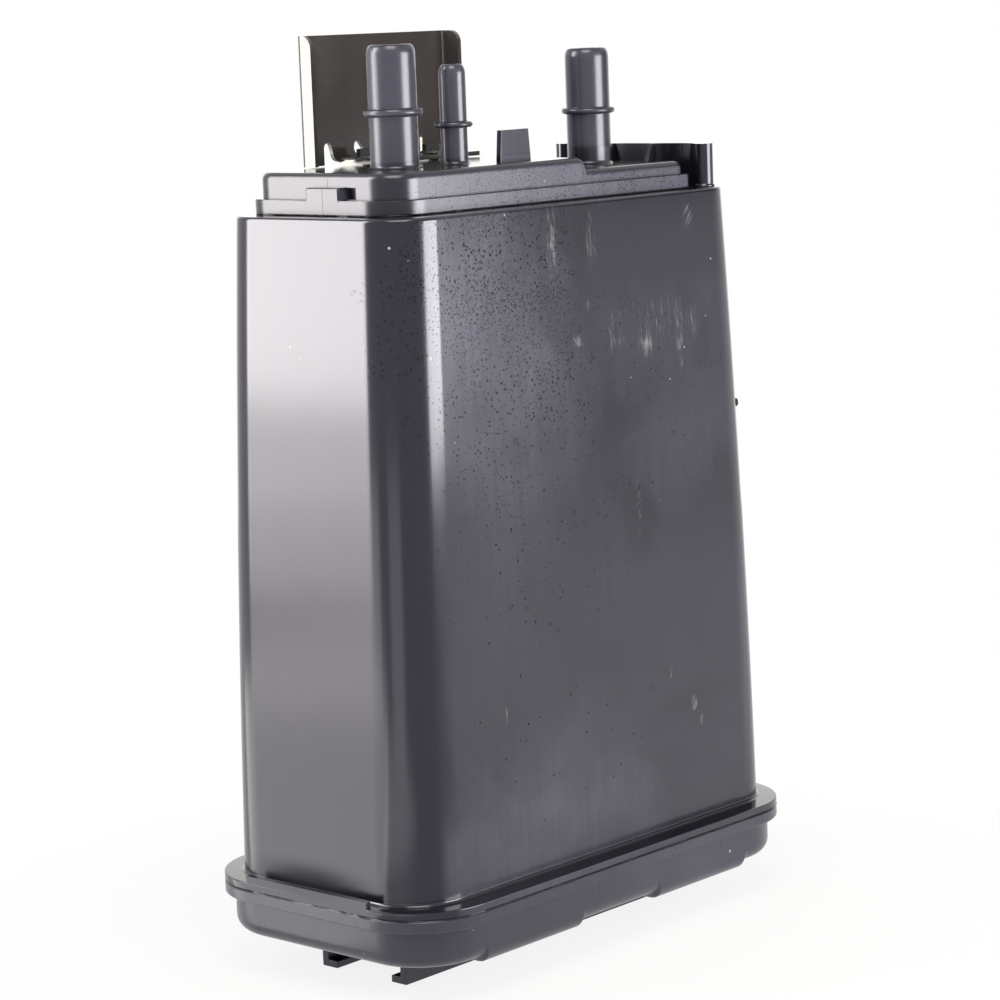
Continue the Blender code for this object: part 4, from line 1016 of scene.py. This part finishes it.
material, board, shader, place = new_material("carbon pellets", 0.8)
pellets = board.cells(place, 450.0)["Distance"]
board.wire(board.blend(board.ramp(pellets, 0.0, 0.6), (0.020, 0.020, 0.020, 1.0),
                       (0.004, 0.004, 0.004, 1.0)), shader.inputs["Base Color"])
relief(board, shader, (pellets, -0.0008))
carbon = material

material, board, shader, place = new_material("inner nylon", 0.5)
tone = board.noise(place, 120.0, 3.0)
board.wire(board.blend(tone, (0.020, 0.020, 0.022, 1.0), (0.032, 0.032, 0.034, 1.0)),
           shader.inputs["Base Color"])
relief(board, shader, (board.noise(place, 1500.0, 2.0), 0.000005))
inner_nylon = material

material, board, shader, place = new_material("drawn spring wire", 0.3, metallic=1.0)
drawn = board.noise(place, 1600.0, 2.0)
board.wire(board.blend(drawn, (0.30, 0.30, 0.30, 1.0), (0.46, 0.45, 0.44, 1.0)),
           shader.inputs["Base Color"])
board.wire(board.plus(board.times(drawn, 0.2), 0.2), shader.inputs["Roughness"])
spring_wire = material

finishes = {
    foam: ("tank_filter", "purge_filter", "vent_filter", "lower_tank_filter", "lower_vent_filter",
           "bed_divider"),
    carbon: ("tank_carbon_bed", "lower_vent_carbon_bed", "upper_vent_carbon_bed"),
    inner_nylon: ("tank_pressure_plate", "vent_pressure_plate"),
    spring_wire: ("tank_spring_front", "tank_spring_rear", "vent_spring_front",
                  "vent_spring_rear"),
}
for finish, names in finishes.items():
    for name in names:
        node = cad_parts[name]
        if node.material_slots:
            for slot in node.material_slots:
                slot.material = finish
        else:
            node.data.materials.append(finish)

# Table and light
# The canister stands on a plain white sweep. One soft box stands behind its near end and
# another in front to the right, with strips, cards and an overhead box to fill.

def background_rays(board):
    """1 for rays from the camera, a mirror or glass, which see the white background."""
    path = board.put("LightPath").outputs
    return board.math("MAXIMUM", path["Is Camera Ray"],
                      board.math("MAXIMUM", path["Is Glossy Ray"], path["Is Transmission Ray"]))


bm = bmesh.new()
bmesh.ops.create_grid(bm, x_segments=1, y_segments=1, size=5.0)
floor = settle("floor", bm)
floor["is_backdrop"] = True
material = bpy.data.materials.new("white sweep")
material.use_nodes = True
board = Board(material.node_tree)
material.node_tree.nodes.clear()
paper = board.put("BsdfDiffuse")
paper.inputs["Color"].default_value = (0.88, 0.88, 0.88, 1.0)
glow = board.put("Emission")
mix = board.put("MixShader")
# the glow leaves some of the lit paper near the object, which shows its shadow
far = board.vector("LENGTH", board.put("TexCoord").outputs["Object"], out="Value")
glow_near = 0.86
share = board.plus(board.times(board.ramp(far, 0.09, 0.24), 1.0 - glow_near), glow_near)
board.wire(board.times(background_rays(board), share), mix.inputs[0])
board.wire(paper.outputs[0], mix.inputs[1])
board.wire(glow.outputs[0], mix.inputs[2])
out = board.put("OutputMaterial")
board.wire(mix.outputs[0], out.inputs[0])
floor.data.materials.append(material)

world = bpy.data.worlds.new("studio")
bpy.context.scene.world = world
world.use_nodes = True
board = Board(world.node_tree)
backdrop = world.node_tree.nodes["Background"]
world_light = 0.35              # what the world gives the object; the backdrop shows as 1
board.wire(board.plus(board.times(background_rays(board), 1.0 - world_light),
                      world_light), backdrop.inputs["Strength"])
backdrop.inputs["Color"].default_value = (1.0, 1.0, 1.0, 1.0)


def soft_box(name, place, width, height, radiance, matte):
    """A rectangular lamp of even radiance, as one lamp that only reflections see and one
    that only matte light sees, at a share of the strength. Both lie in one place, where the
    renderer loses part of the matte one. The shares count on that."""
    at, towards = place
    for part, strength in (("mirrored", radiance), ("matte", radiance * matte)):
        lamp = bpy.data.lights.new(name + " " + part, "AREA")
        lamp.shape = "RECTANGLE"
        lamp.size, lamp.size_y = width, height
        lamp.energy = strength * math.pi * width * height
        lamp.color = (1.0, 0.966, 0.865)
        made = bpy.data.objects.new(name + " " + part, lamp)
        bpy.context.scene.collection.objects.link(made)
        made.location = at
        made.rotation_euler = (Vector(towards) - Vector(at)).to_track_quat("-Z", "Y").to_euler()
        made.visible_camera = False
        made.visible_diffuse = part == "matte"
        made.visible_glossy = part == "mirrored"


middle_x = -0.02                # the lamps stand round this line


def beside(azimuth, distance, z, aim_z=None):
    """A place round the object and the point on its middle line that a lamp there faces."""
    turn = math.radians(azimuth)
    return ((distance * math.cos(turn) + middle_x, distance * math.sin(turn), z),
            (middle_x, 0.0, z if aim_z is None else aim_z))


def lying(x, y, z):
    """A place on the floor that faces up."""
    return (x, y, z), (x, y, 1.0)


soft_box("rear soft box", beside(139.0, 0.50, 0.455), 0.23, 0.58, 16.0, 0.55)
soft_box("rear middle strip", beside(139.5, 0.51, 0.142), 0.24, 0.046, 7.4, 0.65)
soft_box("rear lower strip", beside(140.0, 0.52, 0.095), 0.26, 0.048, 3.8, 0.65)
soft_box("rear low box", beside(148.0, 0.56, 0.065), 0.46, 0.12, 2.1, 0.65)
soft_box("near low card", beside(200.0, 0.58, 0.07), 0.22, 0.14, 1.3, 0.75)
soft_box("rear floor card", lying(-0.43, 0.29, 0.002), 0.62, 0.55, 2.7, 0.60)
soft_box("near floor card", lying(-0.42, -0.10, 0.003), 0.30, 0.30, 1.5, 0.75)
soft_box("front soft box", beside(290.0, 0.60, 0.250), 0.38, 0.26, 15.5, 0.68)
soft_box("side floor card", lying(0.42, -0.42, 0.002), 0.60, 0.60, 0.35, 0.80)
soft_box("back soft box", beside(42.0, 0.90, 0.30, 0.25), 1.20, 0.60, 0.7, 0.80)
soft_box("overhead soft box", ((-0.29, -0.26, 0.85), (middle_x, 0.0, 0.26)), 0.42, 0.42, 8.0, 0.90)

# a black flag stands in front to the right, and only reflections show it
flag_azimuth = 320.0
bm = bmesh.new()
bmesh.ops.create_grid(bm, x_segments=1, y_segments=1, size=0.5)
for corner in bm.verts:
    corner.co = Vector((corner.co.x * 0.9, 0.0, corner.co.y * 0.36))
flag = settle("flag", bm)
flag.location = beside(flag_azimuth, 0.80, 0.42)[0]
flag.rotation_euler = (0.0, 0.0, math.radians(flag_azimuth - 90.0))
flag.visible_camera = flag.visible_diffuse = flag.visible_shadow = False
material = bpy.data.materials.new("black cloth")
material.use_nodes = True
cloth = material.node_tree.nodes["Principled BSDF"].inputs
cloth["Base Color"].default_value = (0.002, 0.002, 0.002, 1.0)
cloth["Specular IOR Level"].default_value = 0.0
cloth["Roughness"].default_value = 1.0
flag.data.materials.append(material)
flag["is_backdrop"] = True

# Camera
# It stands to the front left and a little above, with a long lens held slightly askew.

heading, fall, roll = math.radians(41.949), math.radians(8.854), math.radians(-2.107)
forward = Vector((math.cos(fall) * math.cos(heading), math.cos(fall) * math.sin(heading),
                  -math.sin(fall)))
level_right = Vector((math.sin(heading), -math.cos(heading), 0.0))
level_up = level_right.cross(forward)
right = level_right * math.cos(roll) + level_up * math.sin(roll)
up = level_up * math.cos(roll) - level_right * math.sin(roll)
lens = bpy.data.cameras.new("camera")
lens.sensor_width = 36.0
lens.lens = 112.34
camera = bpy.data.objects.new("camera", lens)
bpy.context.scene.collection.objects.link(camera)
turned = Matrix((right, up, -forward)).transposed().to_4x4()
camera.matrix_world = Matrix.Translation((-0.77667, -0.69923, 0.31058)) @ turned
bpy.context.scene.camera = camera
bpy.context.scene.view_settings.view_transform = "Standard"

low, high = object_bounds()
